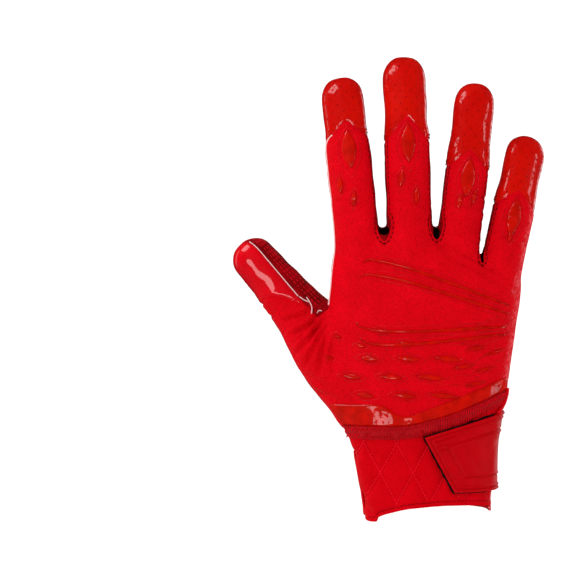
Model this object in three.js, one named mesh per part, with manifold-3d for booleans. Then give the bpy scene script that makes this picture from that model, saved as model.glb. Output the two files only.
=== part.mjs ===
// A right-hand football receiver glove, filled out as a hand fills it, with the fingers up.
// Millimetres. +Z runs up the fingers, +X to the little finger's side, -Y out of the back of the hand.
// The origin is the middle of the wrist opening, level with the lowest corner of the cuff.
import * as THREE from "three";
import { mergeVertices } from "three/addons/utils/BufferGeometryUtils.js";
import Module from "manifold-3d";

const wasm = await Module();
wasm.setup();

// The hand that the glove is cut for.
const HAND_WIDTH = 95;
const HAND_DEPTH = 38;
const CUFF_LENGTH = 40;
const PALM_LENGTH = 106;
const THUMB_LENGTH = 113;
const THUMB_WIDTH = 24;
const THUMB_SPLAY = 37.8;
const FINGERTIP_CURL = 13;
const KNUCKLE_ARCH = 4;

// The cloth, leather and trim.
const WALL = 1.4;
const SEAM_GAP = 0.35;
const SIDEWALL_BAND = 8;
const OUTER_SEAM = -1.5;
const THUMB_SEAM = 5;
const PRINT_THICKNESS = 0.7;
const HEM_WIDTH = 6;
const HEM_THICKNESS = 1;
const QUILT_PITCH = 16;
const QUILT_GROOVE = 1.1;
const QUILT_DEPTH = 0.5;

// The wrist strap and the pull tab.
const STRAP_WIDTH = 39;
const STRAP_THICKNESS = 1.5;
const STRAP_RIM = 0.5;
const STRAP_RIM_WIDTH = 2.6;
const STRAP_ROOT = 4;
const HOOK_THICKNESS = 0.8;
const HOOK_MARGIN = 0.4;
const HOOK_ROOT = -11;
const VENT_WIDTH = 1.6;
const TAB_WIDTH = 12;
const TAB_LENGTH = 35;
const TAB_CLOTH = 1;
const TAB_LOOP = 1.2;
const TAB_STITCHED = 12.5;
const PATCH_SIZE = 9;
const PATCH_THICKNESS = 0.6;
const PATCH_SPACING = 11.5;
const PATCH_INSET = 3.8;
const BINDING_WIDTH = 4.4;
const BINDING_THICKNESS = 1.8;

const FINGER_SIDES = 12;
const HAND_SIDES = 26;
const DOME_RINGS = 3;
const DOME_END = THREE.MathUtils.degToRad(76);
const FAR = 3 * HAND_WIDTH;

// Fingers: across and drop place the web line on the hand, as shares of its width and palm length.
// cap and shoulder are where the glossy fingertip ends, as shares of the finger's length from its tip.
const FINGERS = [
  { name: "index", length: 77, width: 21.6, across: -0.392, drop: 0, lean: -5.6, cap: 0.31, shoulder: 0.41 },
  { name: "middle", length: 87, width: 21.8, across: -0.112, drop: 0, lean: -1.4, cap: 0.36, shoulder: 0.5 },
  { name: "ring", length: 74, width: 20.8, across: 0.155, drop: 0, lean: 7.4, cap: 0.48, shoulder: 0.6 },
  { name: "little", length: 66, width: 20.2, across: 0.375, drop: 0.17, lean: 13.1, cap: 0.44, shoulder: 0.56 },
];

// One finger from inside the palm to where its rounded tip starts.
// along is a share of the finger's length from the web line, wide and deep are shares of its width.
const FINGER_SECTIONS = [
  { along: -0.4, wide: 0.98, deep: 1.02 },
  { along: -0.15, wide: 1.05, deep: 1.06 },
  { along: 0.1, wide: 1.03, deep: 0.95 },
  { along: 0.48, wide: 1.05, deep: 0.91 },
  { along: 0.62, wide: 0.98, deep: 0.83 },
  { along: 0.78, wide: 0.99, deep: 0.83 },
];
const TIP_LENGTH = 0.52;

// The webs between two fingers: across and drop as for a finger.
const WEBS = [
  { name: "index_middle", across: -0.25, drop: 0 },
  { name: "middle_ring", across: 0.025, drop: 0 },
  { name: "ring_little", across: 0.262, drop: 0.17 },
];
const WEB_WIDTH = 13;
const WEB_DEPTH = 15;
const WEB_HEIGHT = 34;
const WEB_TONGUE = 9.5;
// The pointed tongue of a sidewall on the back: shares of the web's width and the tongue's length.
const TONGUE_OUTLINE = [
  { across: -0.36, up: 0.5 },
  { across: -0.34, up: 0 },
  { across: 0, up: -1 },
  { across: 0.34, up: 0 },
  { across: 0.36, up: 0.5 },
];
// How far a fingertip's block reaches to each side, as a share of the finger's width.
const CAP_REACH = 0.66;

// The cuff and palm. up is a share of the cuff's or the palm's length above the hem, left and right
// are shares of the hand's width, back and front of its depth, and tilt is the ring's fall to the right.
const CUFF_SECTIONS = [
  { up: -1.25, left: -0.338, right: 0.312, back: 0.55, front: 0.53, tilt: 0 },
  { up: -0.9, left: -0.348, right: 0.315, back: 0.55, front: 0.53, tilt: 0 },
  { up: -0.5, left: -0.375, right: 0.318, back: 0.55, front: 0.53, tilt: 0 },
];
const PALM_SECTIONS = [
  { up: 0, left: -0.42, right: 0.326, back: 0.53, front: 0.53, tilt: 0 },
  { up: 0.1, left: -0.445, right: 0.355, back: 0.505, front: 0.53, tilt: 0 },
  { up: 0.25, left: -0.49, right: 0.397, back: 0.47, front: 0.52, tilt: 0 },
  { up: 0.4, left: -0.53, right: 0.425, back: 0.44, front: 0.5, tilt: 0 },
  { up: 0.55, left: -0.538, right: 0.45, back: 0.42, front: 0.47, tilt: 0 },
  { up: 0.7, left: -0.53, right: 0.474, back: 0.38, front: 0.43, tilt: 0.04 },
  { up: 0.8, left: -0.517, right: 0.48, back: 0.34, front: 0.38, tilt: 0.13 },
  { up: 0.88, left: -0.5, right: 0.47, back: 0.29, front: 0.32, tilt: 0.2 },
  { up: 0.92, left: -0.46, right: 0.43, back: 0.22, front: 0.24, tilt: 0.22 },
];
const HAND_SQUARENESS = 2.35;
const FINGER_SQUARENESS = 2.15;

// The ball of the thumb and the thumb. along is a share of the thumb's length, bow, wide and deep
// are shares of its width, and forward is a share of the hand's depth towards the palm.
const THUMB_SECTIONS = [
  { along: -0.1, bow: 0, forward: 0.1, wide: 1.1, deep: 1.1 },
  { along: 0, bow: 0, forward: 0.12, wide: 1.36, deep: 1.22 },
  { along: 0.185, bow: 0.07, forward: 0.14, wide: 1.48, deep: 1.42 },
  { along: 0.405, bow: 0.09, forward: 0.18, wide: 1.5, deep: 1.3 },
  { along: 0.54, bow: 0.1, forward: 0.21, wide: 1.28, deep: 1.12 },
  { along: 0.64, bow: 0.09, forward: 0.235, wide: 1.12, deep: 1.01 },
  { along: 0.77, bow: 0.06, forward: 0.26, wide: 1.01, deep: 0.95 },
  { along: 0.905, bow: 0.02, forward: 0.27, wide: 0.93, deep: 0.87 },
];
const THUMB_BASE = { across: -0.274, up: 0.085 };
// Where the thumb's three pieces meet, as turns about its axis from the viewer's side.
const THUMB_TURNS = { outer: -100, inner: 22, palm: 104 };
const THUMB_CAP_START = 0.66;
const GUSSET_START = 0.53;
const THUMB_MIDDLE = THUMB_SECTIONS[6];
const THUMB_REACH = 0.75;
// Where the back's cloth goes round to the thumb's outer side: the edge of that stretch, from the cuff up.
const THUMB_ZONE = [
  { across: -3, up: -0.2 },
  { across: -0.36, up: -0.2 },
  { across: -0.5, up: 0.55 },
];
const THUMB_ZONE_SIDE = 0.45;

// The round seam about the ball of the thumb, as shares of the hand's width and palm length.
const THENAR_SEAM = { across: -0.56, up: 0.4, wide: 0.345, high: 0.375 };

// The hem, where the back of the hand meets the cuff, from the thumb's side to the little finger's.
const HEM_LINE = [
  { across: -0.7, up: 0.115 },
  { across: -0.2, up: 0.115 },
  { across: -0.03, up: 0.185 },
  { across: 0.153, up: 0.32 },
  { across: 0.6, up: 0.77 },
];

// The cuff's lower edge, as shares of the hand's width and the cuff's length above its lowest corner.
const RIM_LINE = [
  { across: -0.7, up: 0.01 },
  { across: -0.33, up: 0.01 },
  { across: -0.27, up: 0.09 },
  { across: -0.12, up: 0.17 },
  { across: 0.12, up: 0.2 },
  { across: 0.7, up: 0.21 },
];
const PALM_RIM = 0.12;

// The strap's free end, from its lower corner round its slanted edge, as shares of the hand's width and
// of the strap's own, and how far its lower edge lies up the cuff.
const STRAP_LOW = 0.4;
const STRAP_END = [
  { across: 0.095, up: 0 },
  { across: -0.053, up: 0.68 },
  { across: 0.37, up: 1 },
  { across: 3, up: 1 },
  { across: 3, up: 0 },
];

// The two ways that the cuff's quilting runs: sideways for each millimetre up, and where one line starts.
const QUILT_WAYS = [
  { lean: 0.55, foot: -0.07 },
  { lean: -0.55, foot: 0.038 },
];
const QUILT_TOP = 1.6;

// The pull tab's top, the way that it leans down, and the stretch of cuff that the binding runs along.
const TAB_TOP = { across: -0.285, up: 0.92 };
const TAB_LEAN = 0.17;
const BINDING_SPAN = { from: 0.03, to: 0.85 };

const CUFF_SEAM = { radial: 11, ulnar: -8 };

// Raised rubber print on the back of the hand: swept ribs, then rows of drops that grow to the right.
const RIB_WIDTH = 1.5;
const RIBS = [
  { start: -0.36, end: 0.4, up: 0.83, fall: 0.2, swell: 0.035 },
  { start: -0.38, end: 0.4, up: 0.76, fall: 0.17, swell: 0.035 },
  { start: -0.4, end: 0.4, up: 0.55, fall: 0.015, swell: -0.035 },
  { start: -0.38, end: 0.4, up: 0.48, fall: -0.02, swell: -0.035 },
];
const DROP_ROWS = [
  { up: 0.385, start: -0.33 },
  { up: 0.3, start: -0.42 },
  { up: 0.215, start: -0.35 },
];
const DROPS_IN_ROW = 3;
const DROP_STEP = 0.2;
const DROP_LENGTH = 9;
const DROP_GROWTH = 2.5;
const DROP_WIDTH = 2.8;
const DROP_TURN = -0.1;
const PAD_LENGTH = 20;
const PAD_WIDTH = 7;
const PAD_BELOW_CAP = 4;
const LEAF_POINTS = 4;
const RIB_POINTS = 5;
// The smooth printed band above the hem: its upper edge, across the hand and up the palm.
const PRINT_BAND_TOP = [
  { across: 0.36, up: 0.29 },
  { across: 0.02, up: 0.17 },
  { across: -0.16, up: 0.12 },
  { across: -0.27, up: 0.17 },
  { across: -0.44, up: 0.17 },
];

const MATERIALS = {
  patent: new THREE.MeshStandardMaterial({ color: 0xd00512, roughness: 0.12, metalness: 0 }),
  cloth: new THREE.MeshStandardMaterial({ color: 0xc8040f, roughness: 0.75, metalness: 0 }),
  mesh: new THREE.MeshStandardMaterial({ color: 0x7c0309, roughness: 0.85, metalness: 0 }),
  quilt: new THREE.MeshStandardMaterial({ color: 0xcc0611, roughness: 0.9, metalness: 0 }),
  print: new THREE.MeshStandardMaterial({ color: 0xb51205, roughness: 0.25, metalness: 0 }),
  strap: new THREE.MeshStandardMaterial({ color: 0xb3040d, roughness: 0.4, metalness: 0 }),
  hook: new THREE.MeshStandardMaterial({ color: 0x0b0a0a, roughness: 0.95, metalness: 0 }),
  tape: new THREE.MeshStandardMaterial({ color: 0x960610, roughness: 0.8, metalness: 0 }),
  patch: new THREE.MeshStandardMaterial({ color: 0x5a0306, roughness: 0.8, metalness: 0 }),
};

const acrossAt = (share) => share * HAND_WIDTH;
const upAt = (share) => CUFF_LENGTH + share * PALM_LENGTH;
const radians = THREE.MathUtils.degToRad;

// A closed three.js geometry as a solid that can be joined and cut.
function solidOf(geometry) {
  const shape = geometry.clone();
  shape.deleteAttribute("normal");
  shape.deleteAttribute("uv");
  const merged = mergeVertices(shape, 1e-4);
  return new wasm.Manifold(
    new wasm.Mesh({
      numProp: 3,
      vertProperties: new Float32Array(merged.attributes.position.array),
      triVerts: new Uint32Array(merged.index.array),
    }),
  );
}

const join = (solids) => solids.reduce((all, next) => all.add(next));

// The largest body of a solid: a cut can leave a crumb of wall on the far side of a seam.
function mainBody(solid) {
  return solid.decompose().reduce((best, body) => (body.volume() > best.volume() ? body : best));
}

// A rounded tube through rings. A ring has a middle, the way its width runs, and its reach each way.
function loft(rings, sides, squareness) {
  const tube = new THREE.CylinderGeometry(1, 1, 1, sides, rings.length - 1);
  const position = tube.attributes.position;
  const rounded = (value) => Math.sign(value) * Math.abs(value) ** (2 / squareness);
  for (let i = 0; i < position.count; i++) {
    const [x, y, z] = [position.getX(i), position.getY(i), position.getZ(i)];
    const ring = rings[Math.round((0.5 - y) * (rings.length - 1))];
    const onRim = Math.hypot(x, z) > 0.5 ? 1 : 0;
    const angle = Math.atan2(z, x);
    const wide = onRim * rounded(Math.cos(angle)) * ring.wide;
    const deep = onRim * rounded(Math.sin(angle)) * (z > 0 ? ring.front : ring.back);
    const point = ring.middle.clone().addScaledVector(ring.across, wide);
    position.setXYZ(i, point.x, point.y + deep, point.z);
  }
  return solidOf(tube);
}

// Where a line that leans from +Z towards +X starts and runs, with the way across it.
function axisOf(across, up, lean) {
  const turn = radians(lean);
  return {
    start: new THREE.Vector3(acrossAt(across), 0, upAt(up)),
    along: new THREE.Vector3(Math.sin(turn), 0, Math.cos(turn)),
    across: new THREE.Vector3(Math.cos(turn), 0, -Math.sin(turn)),
  };
}

// A point of an axis's own plane, as [x, z].
function onAxis(axis, across, along) {
  const point = axis.start.clone().addScaledVector(axis.across, across).addScaledVector(axis.along, along);
  return [point.x, point.z];
}

// The rings that round off a tube's end: from a last ring of that reach, over a length.
function domeRings(from, axis, length, wide, deep) {
  const rings = [];
  for (let i = 1; i <= DOME_RINGS; i++) {
    const turn = (i / DOME_RINGS) * DOME_END;
    const reach = Math.cos(turn);
    const middle = from.clone().addScaledVector(axis.along, (length * Math.sin(turn)) / Math.sin(DOME_END));
    rings.push({ middle, across: axis.across, wide: wide * reach, back: deep * reach, front: deep * reach });
  }
  return rings;
}

const fingerAxis = (finger) => axisOf(finger.across, 1 - finger.drop, finger.lean);

// One finger, grown outwards by grow, or inwards where that is negative.
function fingerSolid(finger, grow) {
  const axis = fingerAxis(finger);
  const straight = finger.length - TIP_LENGTH * finger.width;
  const rings = FINGER_SECTIONS.map((row) => ({
    middle: axis.start.clone().addScaledVector(axis.along, row.along * finger.length),
    across: axis.across,
    wide: (row.wide * finger.width) / 2 + grow,
    back: (row.deep * finger.width) / 2 + grow,
    front: (row.deep * finger.width) / 2 + grow,
  }));
  const last = { ...rings[rings.length - 1] };
  last.middle = axis.start.clone().addScaledVector(axis.along, straight);
  rings.push(last);
  rings.push(...domeRings(last.middle, axis, TIP_LENGTH * finger.width + grow, last.wide, last.back));
  return loft(rings, FINGER_SIDES, FINGER_SQUARENESS);
}

// The rounded web that joins two fingers where they part.
function webSolid(web, grow) {
  const axis = axisOf(web.across, 1 - web.drop, 0);
  const wide = WEB_WIDTH / 2 + grow;
  const deep = WEB_DEPTH / 2 + grow;
  const ringAt = (down) => ({
    middle: axis.start.clone().addScaledVector(axis.along, -down),
    across: axis.across,
    wide,
    back: deep,
    front: deep,
  });
  const rings = [ringAt(WEB_HEIGHT), ringAt(WEB_DEPTH / 2)];
  rings.push(...domeRings(rings[1].middle, axis, WEB_DEPTH / 2 + grow, wide, deep));
  return loft(rings, FINGER_SIDES, FINGER_SQUARENESS);
}

// One ring of the cuff or palm.
function handRing(row, length, grow) {
  const across = new THREE.Vector3(1, 0, -row.tilt).normalize();
  const centre = acrossAt(row.left + row.right) / 2;
  return {
    middle: new THREE.Vector3(centre, 0, CUFF_LENGTH + row.up * length - row.tilt * centre),
    across,
    wide: acrossAt(row.right - row.left) / 2 + grow,
    back: row.back * HAND_DEPTH + grow,
    front: row.front * HAND_DEPTH + grow,
  };
}

const cuffRings = (grow) => CUFF_SECTIONS.map((row) => handRing(row, CUFF_LENGTH, grow));

// The palm's rings. The last one closes it between the fingers, so it moves out by grow as well.
function palmRings(grow) {
  const rings = PALM_SECTIONS.map((row) => handRing(row, PALM_LENGTH, grow));
  rings[rings.length - 1].middle.z += grow;
  return rings;
}
const THUMB_AXIS = axisOf(THUMB_BASE.across, THUMB_BASE.up, -THUMB_SPLAY);

// The ball of the thumb and the thumb.
function thumbSolid(grow) {
  const rings = THUMB_SECTIONS.map((row) => ({
    middle: THUMB_AXIS.start
      .clone()
      .addScaledVector(THUMB_AXIS.along, row.along * THUMB_LENGTH)
      .addScaledVector(THUMB_AXIS.across, row.bow * THUMB_WIDTH)
      .setY(row.forward * HAND_DEPTH),
    across: THUMB_AXIS.across,
    wide: (row.wide * THUMB_WIDTH) / 2 + grow,
    back: (row.deep * THUMB_WIDTH) / 2 + grow,
    front: (row.deep * THUMB_WIDTH) / 2 + grow,
  }));
  const last = rings[rings.length - 1];
  const tip = (1 - THUMB_SECTIONS[THUMB_SECTIONS.length - 1].along) * THUMB_LENGTH;
  rings.push(...domeRings(last.middle, THUMB_AXIS, tip + grow, last.wide, last.back));
  return loft(rings, FINGER_SIDES + 2, FINGER_SQUARENESS);
}

// The whole hand, grown by grow: what lies between two of these is a layer of the glove.
function handSolid(grow) {
  const hand = loft([...cuffRings(grow), ...palmRings(grow)], HAND_SIDES, HAND_SQUARENESS);
  const fingers = FINGERS.map((finger) => fingerSolid(finger, grow));
  const webs = WEBS.map((web) => webSolid(web, grow));
  return join([hand, thumbSolid(grow), ...fingers, ...webs]);
}

// The cuff and palm alone, which the strap, hem and tab lie on.
function wristSolid(grow) {
  return loft([...cuffRings(grow), ...palmRings(grow)], HAND_SIDES, HAND_SQUARENESS);
}

const handLayer = (inside, outside) => handSolid(outside).subtract(handSolid(inside));
const wristLayer = (inside, outside) => wristSolid(outside).subtract(wristSolid(inside));

// An outline in the XZ plane with its edges moved outwards by grow.
function grownOutline(points, grow) {
  const area = points.reduce((sum, [x, z], i) => {
    const [nextX, nextZ] = points[(i + 1) % points.length];
    return sum + x * nextZ - nextX * z;
  }, 0);
  const outline = area < 0 ? [...points].reverse() : points;
  return outline.map(([x, z], i) => {
    const [beforeX, beforeZ] = outline[(i + outline.length - 1) % outline.length];
    const [nextX, nextZ] = outline[(i + 1) % outline.length];
    const before = new THREE.Vector2(z - beforeZ, beforeX - x).normalize();
    const after = new THREE.Vector2(nextZ - z, x - nextX).normalize();
    const scale = grow / (1 + before.dot(after));
    return [x + (before.x + after.x) * scale, z + (before.y + after.y) * scale];
  });
}

// A block with that outline in the XZ plane, from one depth to another.
function prism(points, fromY, toY, grow = 0) {
  const shape = new THREE.Shape(grownOutline(points, grow).map(([x, z]) => new THREE.Vector2(x, z)));
  const block = new THREE.ExtrudeGeometry(shape, { depth: toY - fromY, bevelEnabled: false });
  return solidOf(block.rotateX(Math.PI / 2).translate(0, toY, 0));
}

const rectangle = (left, right, low, high) => [
  [left, low],
  [right, low],
  [right, high],
  [left, high],
];
const everywhere = (fromY, toY) => prism(rectangle(-FAR, FAR, -FAR, FAR), fromY, toY);
const hemPoints = (shift) =>
  HEM_LINE.map(({ across, up }) => [acrossAt(across), CUFF_LENGTH * (1 + up) + shift]);
const aboveHem = (shift) => prism([...hemPoints(shift), [FAR, FAR], [-FAR, FAR]], -FAR, FAR);
const belowHem = (shift) => prism([...hemPoints(shift).reverse(), [-FAR, -FAR], [FAR, -FAR]], -FAR, FAR);

// The glossy end of a finger, above the pointed edge of the back's cloth.
function fingertipBlock(finger, grow) {
  const axis = fingerAxis(finger);
  const side = finger.width;
  const shoulder = finger.length * (1 - finger.shoulder);
  const apex = finger.length * (1 - finger.cap);
  const outline = [
    onAxis(axis, -side * CAP_REACH, shoulder),
    onAxis(axis, -side / 2, shoulder),
    onAxis(axis, 0, apex),
    onAxis(axis, side / 2, shoulder),
    onAxis(axis, side * CAP_REACH, shoulder),
    onAxis(axis, side * CAP_REACH, finger.length + side),
    onAxis(axis, -side * CAP_REACH, finger.length + side),
  ];
  return prism(outline, -FAR, FAR, grow);
}

// What the sidewall between two fingers takes: the band between them, and a tongue on the back.
function sidewallBlock(index, grow) {
  const [left, right, web] = [FINGERS[index], FINGERS[index + 1], WEBS[index]];
  const [leftAxis, rightAxis] = [fingerAxis(left), fingerAxis(right)];
  const foot = axisOf(web.across, 1 - web.drop, 0);
  const low = foot.start.z - WEB_TONGUE;
  const between = [
    [acrossAt(left.across), low],
    onAxis(leftAxis, 0, left.length),
    onAxis(rightAxis, 0, right.length),
    [acrossAt(right.across), low],
  ];
  const tongue = TONGUE_OUTLINE.map(({ across, up }) => onAxis(foot, across * WEB_WIDTH, up * WEB_TONGUE));
  const half = SIDEWALL_BAND / 2 + grow;
  return prism(between, -half, half, 0).add(prism(tongue, -FAR, 0, grow));
}

// A slice of the thumb between two turns about its axis, from one place along it to past its tip.
function thumbSlice(fromTurn, toTurn, start, grow) {
  const centre = radians((fromTurn + toTurn) / 2);
  const widen = grow / Math.sin(radians(Math.min(toTurn - fromTurn, 180) / 2));
  const reach = THUMB_WIDTH * THUMB_REACH + 2 * widen;
  const outline = [[-widen * Math.sin(centre), widen * Math.cos(centre)]];
  const steps = 6;
  for (let i = 0; i <= steps; i++) {
    const turn = radians(fromTurn + ((toTurn - fromTurn) * i) / steps);
    outline.push([reach * Math.sin(turn) + outline[0][0], -reach * Math.cos(turn) + outline[0][1]]);
  }
  const shape = new THREE.Shape(outline.map(([across, deep]) => new THREE.Vector2(across, deep)));
  const block = new THREE.ExtrudeGeometry(shape, { depth: THUMB_LENGTH, bevelEnabled: false });
  const deep = new THREE.Vector3(0, 1, 0);
  const frame = new THREE.Matrix4().makeBasis(THUMB_AXIS.across, deep, THUMB_AXIS.along);
  const from = THUMB_AXIS.start
    .clone()
    .addScaledVector(THUMB_AXIS.along, start * THUMB_LENGTH - grow)
    .addScaledVector(THUMB_AXIS.across, THUMB_MIDDLE.bow * THUMB_WIDTH)
    .setY(THUMB_MIDDLE.forward * HAND_DEPTH);
  const slice = new wasm.Mesh(solidOf(block).getMesh());
  const point = new THREE.Vector3();
  const vertices = slice.vertProperties;
  for (let i = 0; i < vertices.length; i += 3) {
    point.fromArray(vertices, i).applyMatrix4(frame).add(from).toArray(vertices, i);
  }
  const triangles = slice.triVerts;
  if (frame.determinant() < 0) {
    for (let i = 0; i < triangles.length; i += 3) {
      [triangles[i], triangles[i + 1]] = [triangles[i + 1], triangles[i]];
    }
  }
  return new wasm.Manifold(slice);
}

// The oval about the ball of the thumb, open towards the thumb.
function thenarBlock(grow) {
  const { across, up, wide, high } = THENAR_SEAM;
  const oval = new THREE.EllipseCurve(
    acrossAt(across),
    upAt(up),
    acrossAt(wide) + grow,
    high * PALM_LENGTH + grow,
    -Math.PI / 2,
    Math.PI / 2,
  );
  const points = oval.getPoints(14).map(({ x, y }) => [x, y]);
  const [bottom, top] = [points[0][1], points[points.length - 1][1]];
  return prism([...points, [-FAR, top], [-FAR, bottom]], THUMB_SEAM - grow, FAR);
}

// The cuff's plane of parting: the back's quilted cuff is on the near side of it, the palm on the far.
function cuffPlane(near, shift) {
  const slope = (CUFF_SEAM.ulnar - CUFF_SEAM.radial) / HAND_WIDTH;
  const depthAt = (x) => CUFF_SEAM.radial + slope * (x + HAND_WIDTH / 2) + shift;
  const outline = [
    [-HAND_WIDTH, depthAt(-HAND_WIDTH)],
    [HAND_WIDTH, depthAt(HAND_WIDTH)],
    [HAND_WIDTH, near ? -FAR : FAR],
    [-HAND_WIDTH, near ? -FAR : FAR],
  ];
  const shape = new THREE.Shape(outline.map(([x, y]) => new THREE.Vector2(x, y)));
  const block = new THREE.ExtrudeGeometry(shape, { depth: 2 * FAR, bevelEnabled: false });
  return solidOf(block.translate(0, 0, -FAR));
}

// A leaf outline about a point, its length at that turn from +X.
function leaf(middleX, middleZ, length, width, turn) {
  const half = [];
  for (let i = 0; i <= LEAF_POINTS; i++) {
    const share = i / LEAF_POINTS;
    half.push([length * (share - 0.5), (width / 2) * Math.sin(Math.PI * share) ** 0.9]);
  }
  const outline = [...half, ...half.slice(1, -1).reverse().map(([x, z]) => [x, -z])];
  const [cos, sin] = [Math.cos(turn), Math.sin(turn)];
  return outline.map(([x, z]) => [middleX + x * cos - z * sin, middleZ + x * sin + z * cos]);
}

// How far towards the palm a point of the glove lies: the hand arches and its fingers curl.
function drape(x, z) {
  const knuckles = upAt(0.7);
  const reach = PALM_LENGTH * 0.3 + FINGERS[1].length;
  const curl = Math.max(0, z - knuckles) / reach;
  const side = Math.min(Math.abs(x) / (HAND_WIDTH / 2), 1.3);
  const rise = THREE.MathUtils.smoothstep(z, upAt(0), knuckles);
  return FINGERTIP_CURL * curl ** 2 + KNUCKLE_ARCH * side ** 2 * rise;
}

const glove = new THREE.Group();

// Adds a finished solid to the glove as a named mesh in its draped place.
function addPiece(name, solid, material) {
  const { vertProperties, triVerts, numProp } = mainBody(solid).getMesh();
  const positions = new Float32Array((vertProperties.length / numProp) * 3);
  for (let i = 0; i < positions.length / 3; i++) {
    const [x, y, z] = vertProperties.slice(i * numProp, i * numProp + 3);
    positions.set([x, y + drape(x, z), z], i * 3);
  }
  const geometry = new THREE.BufferGeometry();
  geometry.setAttribute("position", new THREE.BufferAttribute(positions, 3));
  geometry.setIndex([...triVerts]);
  geometry.computeVertexNormals();
  const mesh = new THREE.Mesh(geometry, material);
  mesh.name = name;
  glove.add(mesh);
}

// The skin of the glove, open at the wrist, cut up along its seams.
const skin = handLayer(-WALL, 0);
const wrist = wristLayer(-WALL, 0);
const half = SEAM_GAP / 2;

const fingertips = (grow) => join(FINGERS.map((finger) => fingertipBlock(finger, grow)));
const sidewalls = (grow) => join(WEBS.map((web, index) => sidewallBlock(index, grow)));
const gusset = (grow) => thumbSlice(THUMB_TURNS.inner, THUMB_TURNS.palm, GUSSET_START, grow);
const thumbCap = (grow) => thumbSlice(THUMB_TURNS.outer, THUMB_TURNS.inner, THUMB_CAP_START, grow);
const thumbFront = (grow) => thumbSlice(THUMB_TURNS.palm, THUMB_TURNS.outer + 360, THUMB_CAP_START, grow);
const thenarZone = (grow) =>
  prism(
    [
      ...THUMB_ZONE.map(({ across, up }) => [acrossAt(across), upAt(up)]),
      onAxis(THUMB_AXIS, THUMB_WIDTH * THUMB_ZONE_SIDE, THUMB_LENGTH * GUSSET_START),
      onAxis(THUMB_AXIS, THUMB_WIDTH * THUMB_ZONE_SIDE, THUMB_LENGTH * 2),
      [-FAR, FAR],
    ],
    -FAR,
    FAR,
    grow,
  );

// What is the back's, above the hem: as far as the outer seams, and the ball of the thumb's seam.
const backSide = everywhere(-FAR, OUTER_SEAM - half).add(
  thenarZone(0).intersect(everywhere(-FAR, THUMB_SEAM - half)),
);
const frontSide = everywhere(OUTER_SEAM + half, FAR).subtract(
  thenarZone(SEAM_GAP).intersect(everywhere(-FAR, THUMB_SEAM + half)),
);

const back = skin
  .intersect(backSide)
  .intersect(aboveHem(half))
  .subtract(fingertips(SEAM_GAP))
  .subtract(sidewalls(SEAM_GAP))
  .subtract(thumbCap(SEAM_GAP))
  .subtract(gusset(SEAM_GAP))
  .subtract(thumbFront(SEAM_GAP));
addPiece("back_panel", back, MATERIALS.cloth);

const cuffFront = cuffPlane(false, VENT_WIDTH / 2);
const palmSide = frontSide
  .intersect(aboveHem(half))
  .add(cuffFront.intersect(belowHem(-half)))
  .add(frontSide.intersect(cuffFront));
const palm = skin
  .intersect(palmSide.add(fingertips(0)))
  .intersect(prism(rectangle(-FAR, FAR, PALM_RIM * CUFF_LENGTH, FAR), -FAR, FAR))
  .subtract(sidewalls(SEAM_GAP).subtract(fingertips(0)))
  .subtract(thenarBlock(SEAM_GAP))
  .subtract(thumbCap(SEAM_GAP))
  .subtract(gusset(SEAM_GAP))
  .subtract(thumbFront(SEAM_GAP));
addPiece("palm_panel", palm, MATERIALS.patent);

WEBS.forEach((web, index) => {
  const wall = skin.intersect(sidewallBlock(index, 0)).subtract(fingertips(SEAM_GAP));
  addPiece(`sidewall_${web.name}`, wall, MATERIALS.mesh);
});

const front = skin.intersect(thenarBlock(0).add(thumbFront(0)));
addPiece("thumb_panel", front.subtract(gusset(SEAM_GAP)).subtract(thumbCap(SEAM_GAP)), MATERIALS.patent);
addPiece("thumb_cap", skin.intersect(thumbCap(0)), MATERIALS.print);
addPiece("thumb_gusset", skin.intersect(gusset(0)).subtract(thumbCap(SEAM_GAP)), MATERIALS.mesh);

// The quilted cuff, with its crossing rows of grooves.
const rimPoints = RIM_LINE.map(({ across, up }) => [acrossAt(across), up * CUFF_LENGTH]);
const aboveRim = prism([...rimPoints, [FAR, FAR], [-FAR, FAR]], -FAR, FAR);
const quiltTop = CUFF_LENGTH * QUILT_TOP;
const lineCount = Math.ceil((HAND_WIDTH / 2 + quiltTop) / QUILT_PITCH);
const grooves = QUILT_WAYS.flatMap(({ lean, foot }) =>
  Array.from({ length: 2 * lineCount + 1 }, (_, i) => {
    const low = acrossAt(foot) + (i - lineCount) * QUILT_PITCH;
    const high = low + lean * quiltTop;
    const side = QUILT_GROOVE / 2;
    const ends = [[low - side, 0], [low + side, 0], [high + side, quiltTop], [high - side, quiltTop]];
    return prism(ends, -FAR, 0);
  }),
);
const quilt = wrist
  .intersect(cuffPlane(true, -VENT_WIDTH / 2))
  .intersect(belowHem(-half))
  .intersect(aboveRim);
addPiece("cuff", quilt.subtract(join(grooves).subtract(wristSolid(-QUILT_DEPTH))), MATERIALS.quilt);

// The hem tape over the join of back and cuff.
const hemBand = aboveHem(-HEM_WIDTH / 2).intersect(belowHem(HEM_WIDTH / 2));
const hem = handLayer(SEAM_GAP, SEAM_GAP + HEM_THICKNESS)
  .intersect(hemBand)
  .intersect(everywhere(-FAR, OUTER_SEAM - half));
addPiece("hem_tape", hem, MATERIALS.tape);

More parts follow.
